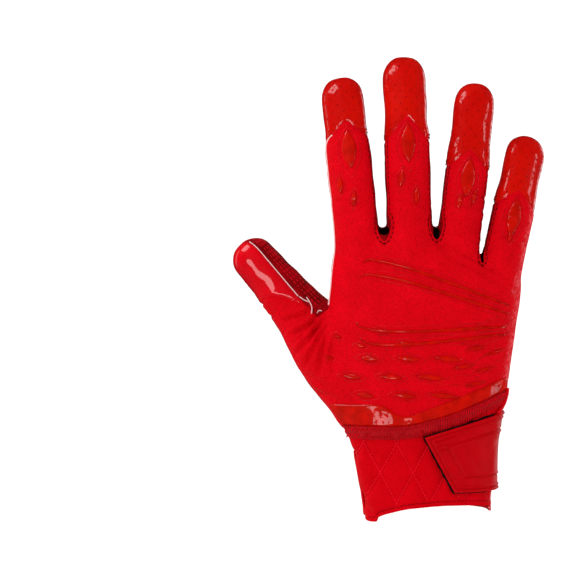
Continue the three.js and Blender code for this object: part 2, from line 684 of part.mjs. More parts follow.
// The strap lies over its hook tape, its free end cut at a slant on the back of the wrist.
const strapInside = SEAM_GAP;
const strapOutline = STRAP_END.map(({ across, up }) => [
  acrossAt(across),
  CUFF_LENGTH * STRAP_LOW + up * STRAP_WIDTH,
]);
const strapBottom = strapInside + HOOK_THICKNESS + SEAM_GAP;
const strapTop = strapBottom + STRAP_THICKNESS;
const strapBlock = prism(strapOutline, -FAR, STRAP_ROOT);
const strapEdge = strapBlock.subtract(prism(strapOutline, -FAR, FAR, -STRAP_RIM_WIDTH));
const strapRim = wristLayer(strapTop - STRAP_THICKNESS / 2, strapTop + STRAP_RIM).intersect(strapEdge);
const strap = wristLayer(strapBottom, strapTop).intersect(strapBlock).add(strapRim);
addPiece("wrist_strap", strap, MATERIALS.strap);
const hookBlock = prism(strapOutline, -FAR, HOOK_ROOT, HOOK_MARGIN);
const hook = wristLayer(strapInside, strapInside + HOOK_THICKNESS).intersect(hookBlock);
addPiece("hook_tape", hook, MATERIALS.hook);

// The rolled binding on the cuff's free edge, over the slit at the thumb's side of the palm.
const bindingBlock = rectangle(-FAR, 0, CUFF_LENGTH * BINDING_SPAN.from, CUFF_LENGTH * BINDING_SPAN.to);
const binding = wristLayer(SEAM_GAP, SEAM_GAP + BINDING_THICKNESS)
  .intersect(cuffPlane(true, BINDING_WIDTH / 2))
  .intersect(cuffPlane(false, -BINDING_WIDTH / 2))
  .intersect(prism(bindingBlock, -FAR, FAR));
addPiece("cuff_binding", binding, MATERIALS.quilt);

// The pull tab: a folded tape on the palm side, with two plain patches.
const tabAxis = {
  start: new THREE.Vector3(acrossAt(TAB_TOP.across), 0, CUFF_LENGTH * TAB_TOP.up),
  along: new THREE.Vector3(TAB_LEAN, 0, -1).normalize(),
  across: new THREE.Vector3(1, 0, TAB_LEAN).normalize(),
};
const tabOutline = (inset, from, to) => [
  onAxis(tabAxis, -TAB_WIDTH / 2 + inset, from),
  onAxis(tabAxis, TAB_WIDTH / 2 - inset, from),
  onAxis(tabAxis, TAB_WIDTH / 2 - inset, to),
  onAxis(tabAxis, -TAB_WIDTH / 2 + inset, to),
];
const tabInside = SEAM_GAP;
const tabOutside = tabInside + 2 * TAB_CLOTH + TAB_LOOP;
const tabBlock = prism(tabOutline(0, 0, TAB_LENGTH), 0, FAR);
const tabSlot = prism(tabOutline(-TAB_CLOTH, TAB_STITCHED, TAB_LENGTH - 1.5 * TAB_CLOTH), 0, FAR);
const tabVoid = wristLayer(tabInside + TAB_CLOTH, tabOutside - TAB_CLOTH).intersect(tabSlot);
addPiece("pull_tab", wristLayer(tabInside, tabOutside).intersect(tabBlock).subtract(tabVoid), MATERIALS.tape);
["upper", "lower"].forEach((name, index) => {
  const from = PATCH_INSET + index * PATCH_SPACING;
  const inset = (TAB_WIDTH - PATCH_SIZE) / 2;
  const block = prism(tabOutline(inset, from, from + PATCH_SIZE), 0, FAR);
  const layer = wristLayer(tabOutside + SEAM_GAP, tabOutside + SEAM_GAP + PATCH_THICKNESS);
  addPiece(`tab_patch_${name}`, layer.intersect(block), MATERIALS.patch);
});

// The raised print on the back.
const printLayer = handLayer(SEAM_GAP, SEAM_GAP + PRINT_THICKNESS);
FINGERS.forEach((finger) => {
  const axis = fingerAxis(finger);
  const along = finger.length * (1 - finger.cap) - PAD_BELOW_CAP - PAD_LENGTH / 2;
  const [x, z] = onAxis(axis, 0, along);
  const outline = leaf(x, z, PAD_LENGTH, PAD_WIDTH, Math.PI / 2 - radians(finger.lean));
  addPiece(`finger_pad_${finger.name}`, printLayer.intersect(prism(outline, -FAR, 0)), MATERIALS.print);
});
RIBS.forEach(({ start, end, up, fall, swell }, index) => {
  const middleLine = [];
  for (let i = 0; i <= RIB_POINTS; i++) {
    const share = i / RIB_POINTS;
    const height = up - fall * share + swell * Math.sin(Math.PI * Math.sqrt(share));
    middleLine.push([acrossAt(start + (end - start) * share), upAt(height)]);
  }
  const outline = [
    ...middleLine.map(([x, z]) => [x, z - RIB_WIDTH / 2]),
    ...middleLine.reverse().map(([x, z]) => [x, z + RIB_WIDTH / 2]),
  ];
  addPiece(`back_rib_${index + 1}`, printLayer.intersect(prism(outline, -FAR, 0)), MATERIALS.print);
});
DROP_ROWS.forEach(({ up, start }, row) => {
  for (let i = 0; i < DROPS_IN_ROW; i++) {
    const length = DROP_LENGTH + i * DROP_GROWTH;
    const outline = leaf(acrossAt(start + i * DROP_STEP), upAt(up), length, DROP_WIDTH, DROP_TURN);
    addPiece(`back_drop_${row + 1}_${i + 1}`, printLayer.intersect(prism(outline, -FAR, 0)), MATERIALS.print);
  }
});
const bandOutline = [
  ...hemPoints(HEM_WIDTH / 2 + SEAM_GAP).slice(1, -1),
  ...PRINT_BAND_TOP.map(({ across, up }) => [acrossAt(across), upAt(up)]),
];
const bandBlock = prism(bandOutline, -FAR, OUTER_SEAM - half);
addPiece("print_band", printLayer.intersect(bandBlock), MATERIALS.print);

export default glove;
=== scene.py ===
"""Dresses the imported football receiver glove: its panels, raised print, wrist pieces, stitches and studio."""
import logging
import math
from dataclasses import dataclass, field
from enum import Enum, IntEnum
from typing import Callable, Iterable, Sequence

import bmesh
import bpy
import numpy as np
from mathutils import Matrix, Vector
from mathutils.bvhtree import BVHTree
from mathutils.kdtree import KDTree


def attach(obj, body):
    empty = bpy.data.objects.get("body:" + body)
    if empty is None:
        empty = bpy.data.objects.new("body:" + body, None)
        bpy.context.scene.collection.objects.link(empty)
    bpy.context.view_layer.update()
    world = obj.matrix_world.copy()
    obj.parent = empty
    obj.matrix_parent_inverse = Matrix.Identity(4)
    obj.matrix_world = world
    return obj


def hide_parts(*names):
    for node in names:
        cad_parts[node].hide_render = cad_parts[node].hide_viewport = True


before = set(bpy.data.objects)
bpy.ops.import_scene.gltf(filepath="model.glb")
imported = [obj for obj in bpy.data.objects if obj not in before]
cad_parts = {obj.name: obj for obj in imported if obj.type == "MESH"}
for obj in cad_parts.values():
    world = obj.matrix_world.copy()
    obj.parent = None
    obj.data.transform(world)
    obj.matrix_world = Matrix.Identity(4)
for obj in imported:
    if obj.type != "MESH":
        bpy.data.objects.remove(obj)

LOG = logging.getLogger("glove")
MM = 0.001
HAND_WIDTH = 95 * MM
HAND_DEPTH = 38 * MM
CUFF_LENGTH = 40 * MM
PALM_LENGTH = 106 * MM
THUMB_LENGTH = 113 * MM
THUMB_WIDTH = 24 * MM
BODY = "root"

Material = bpy.types.Material
Object = bpy.types.Object
Points = np.ndarray
Inside = Callable[[Points], Points]


class Panel(IntEnum):
    """The pieces that the skin of the glove is cut into, with what falls below the cuff's rim."""

    WASTE = 0
    BACK = 1
    PALM = 2
    THUMB = 3
    CAP = 4
    GUSSET = 5
    CUFF = 6
    WALL_INDEX = 7
    WALL_MIDDLE = 8
    WALL_RING = 9

    @property
    def node(self) -> str:
        """The CAD node that this piece of skin stands for."""
        return PANEL_NODES[self]


PANEL_NODES = {
    Panel.BACK: "back_panel",
    Panel.PALM: "palm_panel",
    Panel.THUMB: "thumb_panel",
    Panel.CAP: "thumb_cap",
    Panel.GUSSET: "thumb_gusset",
    Panel.CUFF: "cuff",
    Panel.WALL_INDEX: "sidewall_index_middle",
    Panel.WALL_MIDDLE: "sidewall_middle_ring",
    Panel.WALL_RING: "sidewall_ring_little",
}
WALLS = (Panel.WALL_INDEX, Panel.WALL_MIDDLE, Panel.WALL_RING)


class Side(Enum):
    """Which side of the hand a fold or a line lies on."""

    BACK = -1
    PALM = 1


def deselect() -> None:
    """Leaves nothing selected."""
    bpy.ops.object.select_all(action="DESELECT")


def pick(obj: Object) -> None:
    """Makes that object the only selected one and the active one."""
    deselect()
    obj.select_set(True)
    bpy.context.view_layer.objects.active = obj


def edit_all(operation: Callable[[], object]) -> None:
    """Runs an operation of edit mode on all of the active mesh."""
    bpy.ops.object.mode_set(mode="EDIT")
    bpy.ops.mesh.select_all(action="SELECT")
    operation()
    bpy.ops.object.mode_set(mode="OBJECT")


def across_at(share: float) -> float:
    """A place across the hand, from a share of its width."""
    return share * HAND_WIDTH


def up_at(share: float) -> float:
    """A height up the palm, from a share of its length."""
    return CUFF_LENGTH + share * PALM_LENGTH


def faired(rows: Sequence[Sequence[float]], per: int) -> Points:
    """Runs a smooth curve through rows of numbers.

    Args:
        rows: the numbers that the curve goes through.
        per: how many steps lie between two of them.

    Returns:
        The rows of the curve, the given ones among them.
    """
    table = np.asarray(rows, dtype=float)
    padded = np.vstack([2 * table[0] - table[1], table, 2 * table[-1] - table[-2]])
    out = []
    for i in range(1, len(padded) - 2):
        a, b, c, d = padded[i - 1:i + 3]
        for t in np.arange(per) / per:
            cubic = (-a + 3 * b - 3 * c + d) * t ** 3
            out.append(0.5 * (2 * b + (c - a) * t + (2 * a - 5 * b + 4 * c - d) * t * t + cubic))
    out.append(table[-1])
    return np.array(out)


def within(points: Points, outline: Sequence[Sequence[float]]) -> Points:
    """Tells which points lie inside an outline in the XZ plane.

    Args:
        points: the points to look at.
        outline: the outline's corners, as (x, z).

    Returns:
        A true or false for each point.
    """
    x, z = points[:, 0], points[:, 2]
    inside = np.zeros(len(points), dtype=bool)
    corners = np.asarray(outline, dtype=float)
    for (ax, az), (bx, bz) in zip(corners, np.roll(corners, -1, axis=0)):
        if az == bz:
            continue
        crosses = (az > z) != (bz > z)
        inside ^= crosses & (x < ax + (z - az) * (bx - ax) / (bz - az))
    return inside


def smooth_step(value: Points, low: float, high: float) -> Points:
    """A smooth rise from 0 at low to 1 at high."""
    share = np.clip((value - low) / (high - low), 0, 1)
    return share * share * (3 - 2 * share)


def unit(rows: Points) -> Points:
    """The same directions, each one metre long."""
    return rows / np.maximum(np.linalg.norm(rows, axis=1, keepdims=True), 1e-9)


def round_edge(gap: Points, edge: float) -> Points:
    """A quarter round that rises from 0 at the outline to 1 at that distance from it."""
    share = np.clip(gap / edge, 0, 1)
    return np.sqrt(1 - (1 - share) ** 2)


def rolling(points: Points, length: float, seed: int, stretch: Sequence[float] = (1, 1, 1)) -> Points:
    """Soft uneven waves, the same on each run.

    Args:
        points: where to work them out.
        length: about how long one wave is, in metres.
        seed: which waves.
        stretch: how much longer they are along X, Y and Z.

    Returns:
        A height from about -1 to 1 for each point.
    """
    rng = np.random.RandomState(seed)
    total = np.zeros(len(points))
    scaled = points / np.asarray(stretch)
    for _ in range(7):
        way = rng.normal(size=3)
        way /= np.linalg.norm(way)
        turn = 2 * math.pi / (length * rng.uniform(0.7, 1.5))
        total += np.sin(scaled @ way * turn + rng.uniform(0, 6.28))
    return total / 3.2


@dataclass(frozen=True)
class Axis:
    """A line in the plane of the hand, which leans from +Z towards +X."""

    start: tuple[float, float]
    lean: float

    def point(self, across: float, along: float) -> tuple[float, float]:
        """The (x, z) of a place that far across and along the line."""
        sin, cos = math.sin(math.radians(self.lean)), math.cos(math.radians(self.lean))
        return (self.start[0] + cos * across + sin * along, self.start[1] - sin * across + cos * along)

    def local(self, points: Points) -> tuple[Points, Points]:
        """How far each point lies across and along the line."""
        sin, cos = math.sin(math.radians(self.lean)), math.cos(math.radians(self.lean))
        dx, dz = points[:, 0] - self.start[0], points[:, 2] - self.start[1]
        return cos * dx - sin * dz, sin * dx + cos * dz

    @property
    def across(self) -> tuple[float, float, float]:
        """The way across the line, as a direction."""
        turn = math.radians(self.lean)
        return (math.cos(turn), 0, -math.sin(turn))


@dataclass(frozen=True)
class Ring:
    """One section of a rounded tube: its middle, the way of its width, and its reach each way."""

    middle: tuple[float, float, float]
    across: tuple[float, float, float]
    wide: float
    back: float
    front: float

    def row(self) -> list[float]:
        """The ring as one row of numbers."""
        return [*self.middle, *self.across, self.wide, self.back, self.front]


@dataclass(frozen=True)
class Finger:
    """One finger: its place on the hand, its size and where its glossy tip ends."""

    name: str
    length: float
    width: float
    across: float
    drop: float
    lean: float
    cap: float
    shoulder: float

    @property
    def axis(self) -> Axis:
        """The line that the finger is built on."""
        return Axis((across_at(self.across), up_at(1 - self.drop)), self.lean)

    def tip_edge(self, across: Points) -> Points:
        """How far along the finger the pointed edge of the back's cloth lies, at places across it."""
        shoulder = self.length * (1 - self.shoulder)
        apex = self.length * (1 - self.cap)
        share = np.clip(np.abs(across) / (self.width / 2), 0, 1)
        return shoulder + (apex - shoulder) * (1 - (np.sqrt(share ** 2 + 0.01) - 0.1) / 0.905)


FINGERS = (
    Finger("index", 77 * MM, 21.6 * MM, -0.392, 0, -5.6, 0.31, 0.41),
    Finger("middle", 87 * MM, 21.8 * MM, -0.112, 0, -1.4, 0.36, 0.5),
    Finger("ring", 74 * MM, 20.8 * MM, 0.155, 0, 7.4, 0.48, 0.6),
    Finger("little", 66 * MM, 20.2 * MM, 0.375, 0.17, 13.1, 0.44, 0.56),
)
THUMB_AXIS = Axis((across_at(-0.274), up_at(0.085)), -37.8)


@dataclass
class HandForm:
    """The whole skin of the glove in one smooth form, before it is cut up and draped."""

    voxel: float = 0.9 * MM
    curl: float = 13 * MM
    arch: float = 4 * MM
    cuff_rows: tuple = (
        (-1.25, -0.338, 0.312, 0.55, 0.53, 0),
        (-0.9, -0.348, 0.315, 0.55, 0.53, 0),
        (-0.5, -0.375, 0.318, 0.55, 0.53, 0),
    )
    palm_rows: tuple = (
        (0, -0.42, 0.326, 0.53, 0.53, 0),
        (0.1, -0.445, 0.355, 0.505, 0.53, 0),
        (0.25, -0.49, 0.397, 0.47, 0.52, 0),
        (0.4, -0.53, 0.425, 0.44, 0.5, 0),
        (0.55, -0.538, 0.45, 0.42, 0.47, 0),
        (0.7, -0.53, 0.474, 0.38, 0.43, 0.04),
        (0.8, -0.517, 0.48, 0.34, 0.38, 0.13),
        (0.88, -0.5, 0.47, 0.29, 0.32, 0.2),
        (0.92, -0.46, 0.43, 0.22, 0.24, 0.22),
    )
    finger_rows: tuple = (
        (-0.4, 0.98, 1.02),
        (-0.15, 1.05, 1.06),
        (0.1, 1.03, 0.95),
        (0.48, 1.05, 0.91),
        (0.62, 0.98, 0.83),
        (0.78, 0.99, 0.83),
    )
    tip_length: float = 0.52
    thumb_rows: tuple = (
        (-0.1, 0, 0.1, 1.1, 1.1),
        (0, 0, 0.12, 1.36, 1.22),
        (0.185, 0.07, 0.14, 1.48, 1.42),
        (0.405, 0.09, 0.18, 1.5, 1.3),
        (0.54, 0.1, 0.21, 1.28, 1.12),
        (0.64, 0.09, 0.235, 1.12, 1.01),
        (0.77, 0.06, 0.26, 1.01, 0.95),
        (0.905, 0.02, 0.27, 0.93, 0.87),
    )
    web_places: tuple = ((-0.25, 0), (0.025, 0), (0.262, 0.17))
    web_size: tuple = (13 * MM, 15 * MM, 34 * MM)

    def drape(self, points: Points) -> Points:
        """Moves points towards the palm, where the hand arches and its fingers curl.

        Args:
            points: places on the flat glove.

        Returns:
            The same places on the draped one.
        """
        knuckles = up_at(0.7)
        reach = PALM_LENGTH * 0.3 + FINGERS[1].length
        curl = np.maximum(0, points[:, 2] - knuckles) / reach
        side = np.minimum(np.abs(points[:, 0]) / (HAND_WIDTH / 2), 1.3)
        rise = smooth_step(points[:, 2], up_at(0), knuckles)
        out = points.copy()
        out[:, 1] += self.curl * curl ** 2 + self.arch * side ** 2 * rise
        return out

    def dome(self, axis: Axis, start: Points, length: float, last: Ring) -> list[Ring]:
        """The rings that round off a tube's end.

        Args:
            axis: the tube's line.
            start: the middle of its last full ring.
            length: how far the end reaches past it.
            last: that ring.

        Returns:
            Rings from there to the very tip.
        """
        way = np.array([math.sin(math.radians(axis.lean)), 0, math.cos(math.radians(axis.lean))])
        rings = []
        for turn in np.linspace(0.12, 1.0, 11) * math.pi / 2:
            reach = max(math.cos(turn) ** 0.86, 0.02)
            middle = tuple(np.asarray(start) + way * length * math.sin(turn))
            rings.append(Ring(middle, axis.across, last.wide * reach, last.back * reach, last.front * reach))
        return rings

    def tube(self, name: str, rings: Sequence[Ring], sides: int, squareness: float) -> Object:
        """Extrudes a straight tube ring by ring, then brings each ring to its section.

        Args:
            name: what the piece is called.
            rings: its sections, from one end to the other.
            sides: how many faces run round it.
            squareness: 2 gives a true ellipse, more a fuller one.

        Returns:
            The closed tube.
        """
        deselect()
        bpy.ops.mesh.primitive_circle_add(vertices=sides, radius=1, fill_type="NGON", location=(0, 0, 0))
        obj = bpy.context.active_object
        obj.name = name
        bpy.ops.object.mode_set(mode="EDIT")
        for _ in rings[1:]:
            bpy.ops.mesh.extrude_region_move(TRANSFORM_OT_translate={"value": (0, 0, 1)})
        bpy.ops.object.mode_set(mode="OBJECT")
        flat = np.empty(len(obj.data.vertices) * 3)
        obj.data.vertices.foreach_get("co", flat)
        local = flat.reshape(-1, 3)
        table = np.array([ring.row() for ring in rings])[np.rint(local[:, 2]).astype(int)]
        angle = np.arctan2(local[:, 1], local[:, 0])
        cos = np.sign(np.cos(angle)) * np.abs(np.cos(angle)) ** (2 / squareness)
        sin = np.sign(np.sin(angle)) * np.abs(np.sin(angle)) ** (2 / squareness)
        placed = table[:, :3] + table[:, 3:6] * (cos * table[:, 6])[:, None]
        placed[:, 1] += sin * np.where(sin > 0, table[:, 8], table[:, 7])
        obj.data.vertices.foreach_set("co", placed.ravel())
        edit_all(lambda: bpy.ops.mesh.normals_make_consistent(inside=False))
        return obj

    def hand(self) -> Object:
        """The cuff and palm."""
        rows = []
        for table, length in ((self.cuff_rows, CUFF_LENGTH), (self.palm_rows, PALM_LENGTH)):
            for up, left, right, back, front, tilt in table:
                rows.append((CUFF_LENGTH + up * length, left, right, back, front, tilt))
        rings = []
        for z, left, right, back, front, tilt in faired(rows, 4):
            centre = across_at(left + right) / 2
            way = Vector((1, 0, -tilt)).normalized()
            middle = (centre, 0, z - tilt * centre)
            wide = across_at(right - left) / 2
            rings.append(Ring(middle, tuple(way), wide, back * HAND_DEPTH, front * HAND_DEPTH))
        return self.tube("hand_form", rings, 96, 2.35)

    def finger(self, finger: Finger) -> Object:
        """One finger, from inside the palm to its tip."""
        straight = 1 - self.tip_length * finger.width / finger.length
        rows = [*self.finger_rows, (straight, *self.finger_rows[-1][1:])]
        rings = []
        for along, wide, deep in faired(rows, 4):
            x, z = finger.axis.point(0, along * finger.length)
            reach = deep * finger.width / 2
            rings.append(Ring((x, 0, z), finger.axis.across, wide * finger.width / 2, reach, reach))
        last = rings[-1]
        rings += self.dome(finger.axis, last.middle, self.tip_length * finger.width, last)
        return self.tube(f"{finger.name}_form", rings, 48, 2.15)

    def thumb(self) -> Object:
        """The ball of the thumb and the thumb."""
        rings = []
        for along, bow, forward, wide, deep in faired(self.thumb_rows, 4):
            x, z = THUMB_AXIS.point(bow * THUMB_WIDTH, along * THUMB_LENGTH)
            reach = deep * THUMB_WIDTH / 2
            middle = (x, forward * HAND_DEPTH, z)
            rings.append(Ring(middle, THUMB_AXIS.across, wide * THUMB_WIDTH / 2, reach, reach))
        last = rings[-1]
        tip = (1 - self.thumb_rows[-1][0]) * THUMB_LENGTH
        rings += self.dome(THUMB_AXIS, last.middle, tip, last)
        return self.tube("thumb_form", rings, 48, 2.15)

    def web(self, across: float, drop: float) -> Object:
        """The rounded web that joins two fingers where they part."""
        width, depth, height = self.web_size
        axis = Axis((across_at(across), up_at(1 - drop)), 0)
        rings = []
        for down in (height, depth / 2):
            x, z = axis.point(0, -down)
            rings.append(Ring((x, 0, z), axis.across, width / 2, depth / 2, depth / 2))
        rings += self.dome(axis, rings[-1].middle, depth / 2, rings[-1])
        return self.tube("web_form", rings, 32, 2.15)

    def build(self) -> Object:
        """Joins the tubes into one skin of small even faces.

        Returns:
            The skin, with the way out of it kept at each point as the attribute outward.
        """
        tubes = [self.hand(), self.thumb()]
        tubes += [self.finger(finger) for finger in FINGERS]
        tubes += [self.web(across, drop) for across, drop in self.web_places]
        pick(tubes[0])
        for tube in tubes:
            tube.select_set(True)
        bpy.ops.object.join()
        skin = bpy.context.active_object
        skin.name = "glove_form"
        remesh = skin.modifiers.new("one_skin", "REMESH")
        remesh.mode = "VOXEL"
        remesh.voxel_size = self.voxel
        bpy.ops.object.modifier_apply(modifier=remesh.name)
        relax = skin.modifiers.new("soft_joins", "SMOOTH")
        relax.factor = 0.5
        relax.iterations = 14
        bpy.ops.object.modifier_apply(modifier=relax.name)
        ways = np.empty(len(skin.data.vertices) * 3, dtype=np.float32)
        skin.data.vertices.foreach_get("normal", ways)
        skin.data.attributes.new("outward", "FLOAT_VECTOR", "POINT").data.foreach_set("vector", ways)
        LOG.info("skin: %d points", len(skin.data.vertices))
        return skin


@dataclass
class Pattern:
    """The seam lines that the skin is cut along."""

    outer_seam: float = -1.5 * MM
    thumb_seam: float = 5 * MM
    band: float = 8 * MM
    hem_line: tuple = ((-0.7, 0.115), (-0.2, 0.115), (-0.03, 0.185), (0.153, 0.32), (0.6, 0.77))
    rim_line: tuple = (
        (-0.7, 0.0),
        (-0.335, 0.0),
        (-0.296, 0.062),
        (-0.25, 0.115),
        (-0.177, 0.168),
        (-0.105, 0.2),
        (0.042, 0.232),
        (0.2, 0.23),
        (0.337, 0.205),
        (0.7, 0.2),
    )
    palm_rim: float = 0.12
    cuff_seam: tuple = (11 * MM, -8 * MM)
    vent: float = 1.2 * MM
    web_width: float = 13 * MM
    tongue: float = 9.5 * MM
    tongue_outline: tuple = (
        (-0.36, 0.5),
        (-0.34, 0),
        (-0.19, -0.58),
        (0, -1),
        (0.19, -0.58),
        (0.34, 0),
        (0.36, 0.5),
    )
    tongue_shares: tuple = ((0.88, 1.0), (0.8, 0.9), (0.26, 0.2))
    tongue_tops: tuple = (1, 1, 6)
    hollows: tuple = ((2.5, 2.4, 1.5), (1.5, 3.7, 3.2), (1.3, 4.6, -1.5))
    thumb_turns: tuple = (-100, 22, 104)
    cap_start: float = 0.66
    cap_edge: tuple = (
        (-11.0, 81.7),
        (-6.8, 83.1),
        (-4.0, 81.8),
        (-0.2, 78.0),
        (3.1, 73.4),
        (5.4, 70.2),
        (9.3, 68.2),
    )
    gusset_start: float = 0.53
    thumb_middle: tuple = (0.06, 0.26)
    thumb_reach: float = 0.75
    thenar: tuple = (-0.56, 0.4, 0.345, 0.375)
    webs: tuple = HandForm.web_places

    def __post_init__(self) -> None:
        """Rounds the corners of the hem and the rim."""
        self.hem_curve = faired([(across_at(a), CUFF_LENGTH * (1 + u)) for a, u in self.hem_line], 12)
        self.rim_curve = faired([(across_at(a), CUFF_LENGTH * u) for a, u in self.rim_line], 8)

    def hem(self, x: Points) -> Points:
        """How high the hem runs at those places across the hand."""
        return np.interp(x, self.hem_curve[:, 0], self.hem_curve[:, 1])

    def rim(self, x: Points) -> Points:
        """How high the cuff's lower edge runs at those places across the hand."""
        return np.interp(x, self.rim_curve[:, 0], self.rim_curve[:, 1])

    def cuff_depth(self, points: Points) -> Points:
        """How far each point lies on the palm's side of the cuff's parting."""
        radial, ulnar = self.cuff_seam
        slope = (ulnar - radial) / HAND_WIDTH
        return points[:, 1] - (radial + slope * (points[:, 0] + HAND_WIDTH / 2))

    def fingertips(self, points: Points) -> Points:
        """Which points lie above the pointed edges of the back's cloth."""
        inside = np.zeros(len(points), dtype=bool)
        for finger in FINGERS:
            across, along = finger.axis.local(points)
            inside |= (np.abs(across) < finger.width * 0.66) & (along > finger.tip_edge(across))
        return inside

    def thumb_turn(self, points: Points) -> tuple[Points, Points, Points]:
        """How far each point lies along the thumb and from its middle, and its turn in degrees."""
        bow, forward = self.thumb_middle
        across, along = THUMB_AXIS.local(points)
        across = across - bow * THUMB_WIDTH
        deep = points[:, 1] - forward * HAND_DEPTH
        turn = np.degrees(np.arctan2(across, -deep))
        return along, np.hypot(across, deep), turn

    def wall(self, points: Points, index: int) -> Points:
        """Which points lie in the strip between two fingers, or in its tongue on the back."""
        left, right = FINGERS[index], FINGERS[index + 1]
        across, drop = self.webs[index]
        foot = (across_at(across), up_at(1 - drop))
        wide, deep = np.array([self.web_width, self.tongue]) * self.tongue_shares[index]
        low = foot[1] - deep
        between = [
            (across_at(left.across), low),
            left.axis.point(0, left.length),
            right.axis.point(0, right.length),
            (across_at(right.across), low),
        ]
        top = self.tongue_tops[index]
        rows = [(a * wide, u * deep * (top if u > 0 else 1)) for a, u in self.tongue_outline]
        tongue = [(foot[0] + a, foot[1] + u) for a, u in rows]
        strip = (np.abs(points[:, 1]) < self.band / 2) & within(points, between)
        return strip | ((points[:, 1] < 0) & within(points, tongue))

    def lattice(self, points: Points, panel: Panel) -> Points:
        """Where each point lies in the rows of perforations, which follow the fingers and the thumb.

        Args:
            points: places on the flat skin.
            panel: the piece that they belong to.

        Returns:
            For each point its place across and along in mm, and 1 on the back of a fingertip, else 0.
        """
        if panel in (Panel.THUMB, Panel.CAP):
            across, along = THUMB_AXIS.local(points)
            return np.column_stack([across / MM, along / MM, np.zeros(len(points))])
        out = np.column_stack([points[:, 0] / MM, points[:, 2] / MM, np.zeros(len(points))])
        gaps = [np.abs(finger.axis.local(points)[0]) for finger in FINGERS]
        own = np.argmin(gaps, axis=0)
        for index, finger in enumerate(FINGERS):
            across, along = finger.axis.local(points)
            turned = np.column_stack([finger.axis.start[0] + across, finger.axis.start[1] + along]) / MM
            share = (smooth_step(along, 0, 15 * MM) * (own == index))[:, None]
            out[:, :2] = out[:, :2] * (1 - share) + turned * share
        out[:, 2] = self.fingertips(points) & (points[:, 1] < 0.5 * MM)
        return out

    def crotch(self, points: Points, index: int) -> Points:
        """How deep in the hollow between two fingers each point lies, from 0 to 1."""
        across, drop = self.webs[index]
        wide, high, low = (size * MM for size in self.hollows[index])
        x, z = points[:, 0] - across_at(across), points[:, 2] - up_at(1 - drop) + low
        near = np.exp(-((x / wide) ** 2 + (z / high) ** 2) ** 1.5)
        return near * smooth_step(-points[:, 1], 0, 1.5 * MM)

    def thumb_zone(self, points: Points) -> Points:
        """Where the back's cloth goes round to the thumb's outer side."""
        side = THUMB_WIDTH * 0.45
        outline = [
            (across_at(-3), up_at(-0.2)),
            (across_at(-0.36), up_at(-0.2)),
            (across_at(-0.5), up_at(0.55)),
            THUMB_AXIS.point(side, THUMB_LENGTH * self.gusset_start),
            THUMB_AXIS.point(side, THUMB_LENGTH * 2),
            (across_at(-3), across_at(3)),
        ]
        return within(points, outline)

    def panels(self, points: Points) -> Points:
        """Names the piece that each point of the skin belongs to.

        Args:
            points: places on the flat skin.

        Returns:
            A number of Panel for each point.
        """
        x, y, z = points.T
        out = np.full(len(points), int(Panel.PALM))
        above = z > self.hem(x)
        depth = self.cuff_depth(points)
        back = (y < self.outer_seam) | (self.thumb_zone(points) & (y < self.thumb_seam))
        out[above & back] = Panel.BACK
        out[~above & (depth < 0)] = Panel.CUFF
        for index, wall in enumerate(WALLS):
            out[self.wall(points, index)] = wall
        out[self.fingertips(points)] = Panel.PALM
        across, up, wide, high = self.thenar
        share = np.clip((z - up_at(up)) / (high * PALM_LENGTH), -1, 1)
        edge = across_at(across) + across_at(wide) * np.sqrt(1 - share ** 2)
        out[(y > self.thumb_seam) & (np.abs(share) < 1) & (x < edge)] = Panel.THUMB
        along, reach, turn = self.thumb_turn(points)
        outer, inner, palm = self.thumb_turns
        near = reach < THUMB_WIDTH * self.thumb_reach
        ahead = near & (along > self.cap_start * THUMB_LENGTH)
        out[ahead & ((turn > palm) | (turn < outer))] = Panel.THUMB
        out[near & (along > self.gusset_start * THUMB_LENGTH) & (turn > inner) & (turn < palm)] = Panel.GUSSET
        across, _ = THUMB_AXIS.local(points)
        edge_across, edge_along = np.array(self.cap_edge).T * MM
        capped = near & (along > np.interp(across, edge_across, edge_along))
        out[ahead & (turn > outer) & (turn < inner)] = Panel.BACK
        out[capped & (turn > outer) & (turn < inner)] = Panel.CAP
        slit = (np.abs(depth) < self.vent / 2) & (x < 0) & (z < CUFF_LENGTH * 0.9)
        low = np.where(depth < 0, self.rim(x), self.palm_rim * CUFF_LENGTH)
        out[(z < low) | slit] = Panel.WASTE
        return out


@dataclass(frozen=True)
class Fold:
    """A crease in the cloth or leather: a line on one side of the hand, with its width and depth."""

    side: Side
    start: tuple[float, float]
    end: tuple[float, float]
    width: float
    depth: float

    def height(self, points: Points) -> Points:
        """How far the fold moves each point out of the skin."""
        start, end = np.array(self.start) * MM, np.array(self.end) * MM
        way = end - start
        length = np.linalg.norm(way)
        way = way / length
        rel = points[:, [0, 2]] - start
        along = rel @ way / length
        wander = 0.35 * self.width * MM * np.sin(along * 5 + self.start[0])
        off = rel @ np.array([-way[1], way[0]]) + wander
        fade = smooth_step(along, -0.15, 0.25) * (1 - smooth_step(along, 0.7, 1.15))
        near = smooth_step(points[:, 1] * self.side.value, -2 * MM, 2 * MM)
        width = self.width * MM
        valley = np.exp(-(off / width) ** 2)
        ridge = 0.45 * np.exp(-((np.abs(off) - 1.9 * width) / width) ** 2)
        return self.depth * MM * (ridge - valley) * fade * near


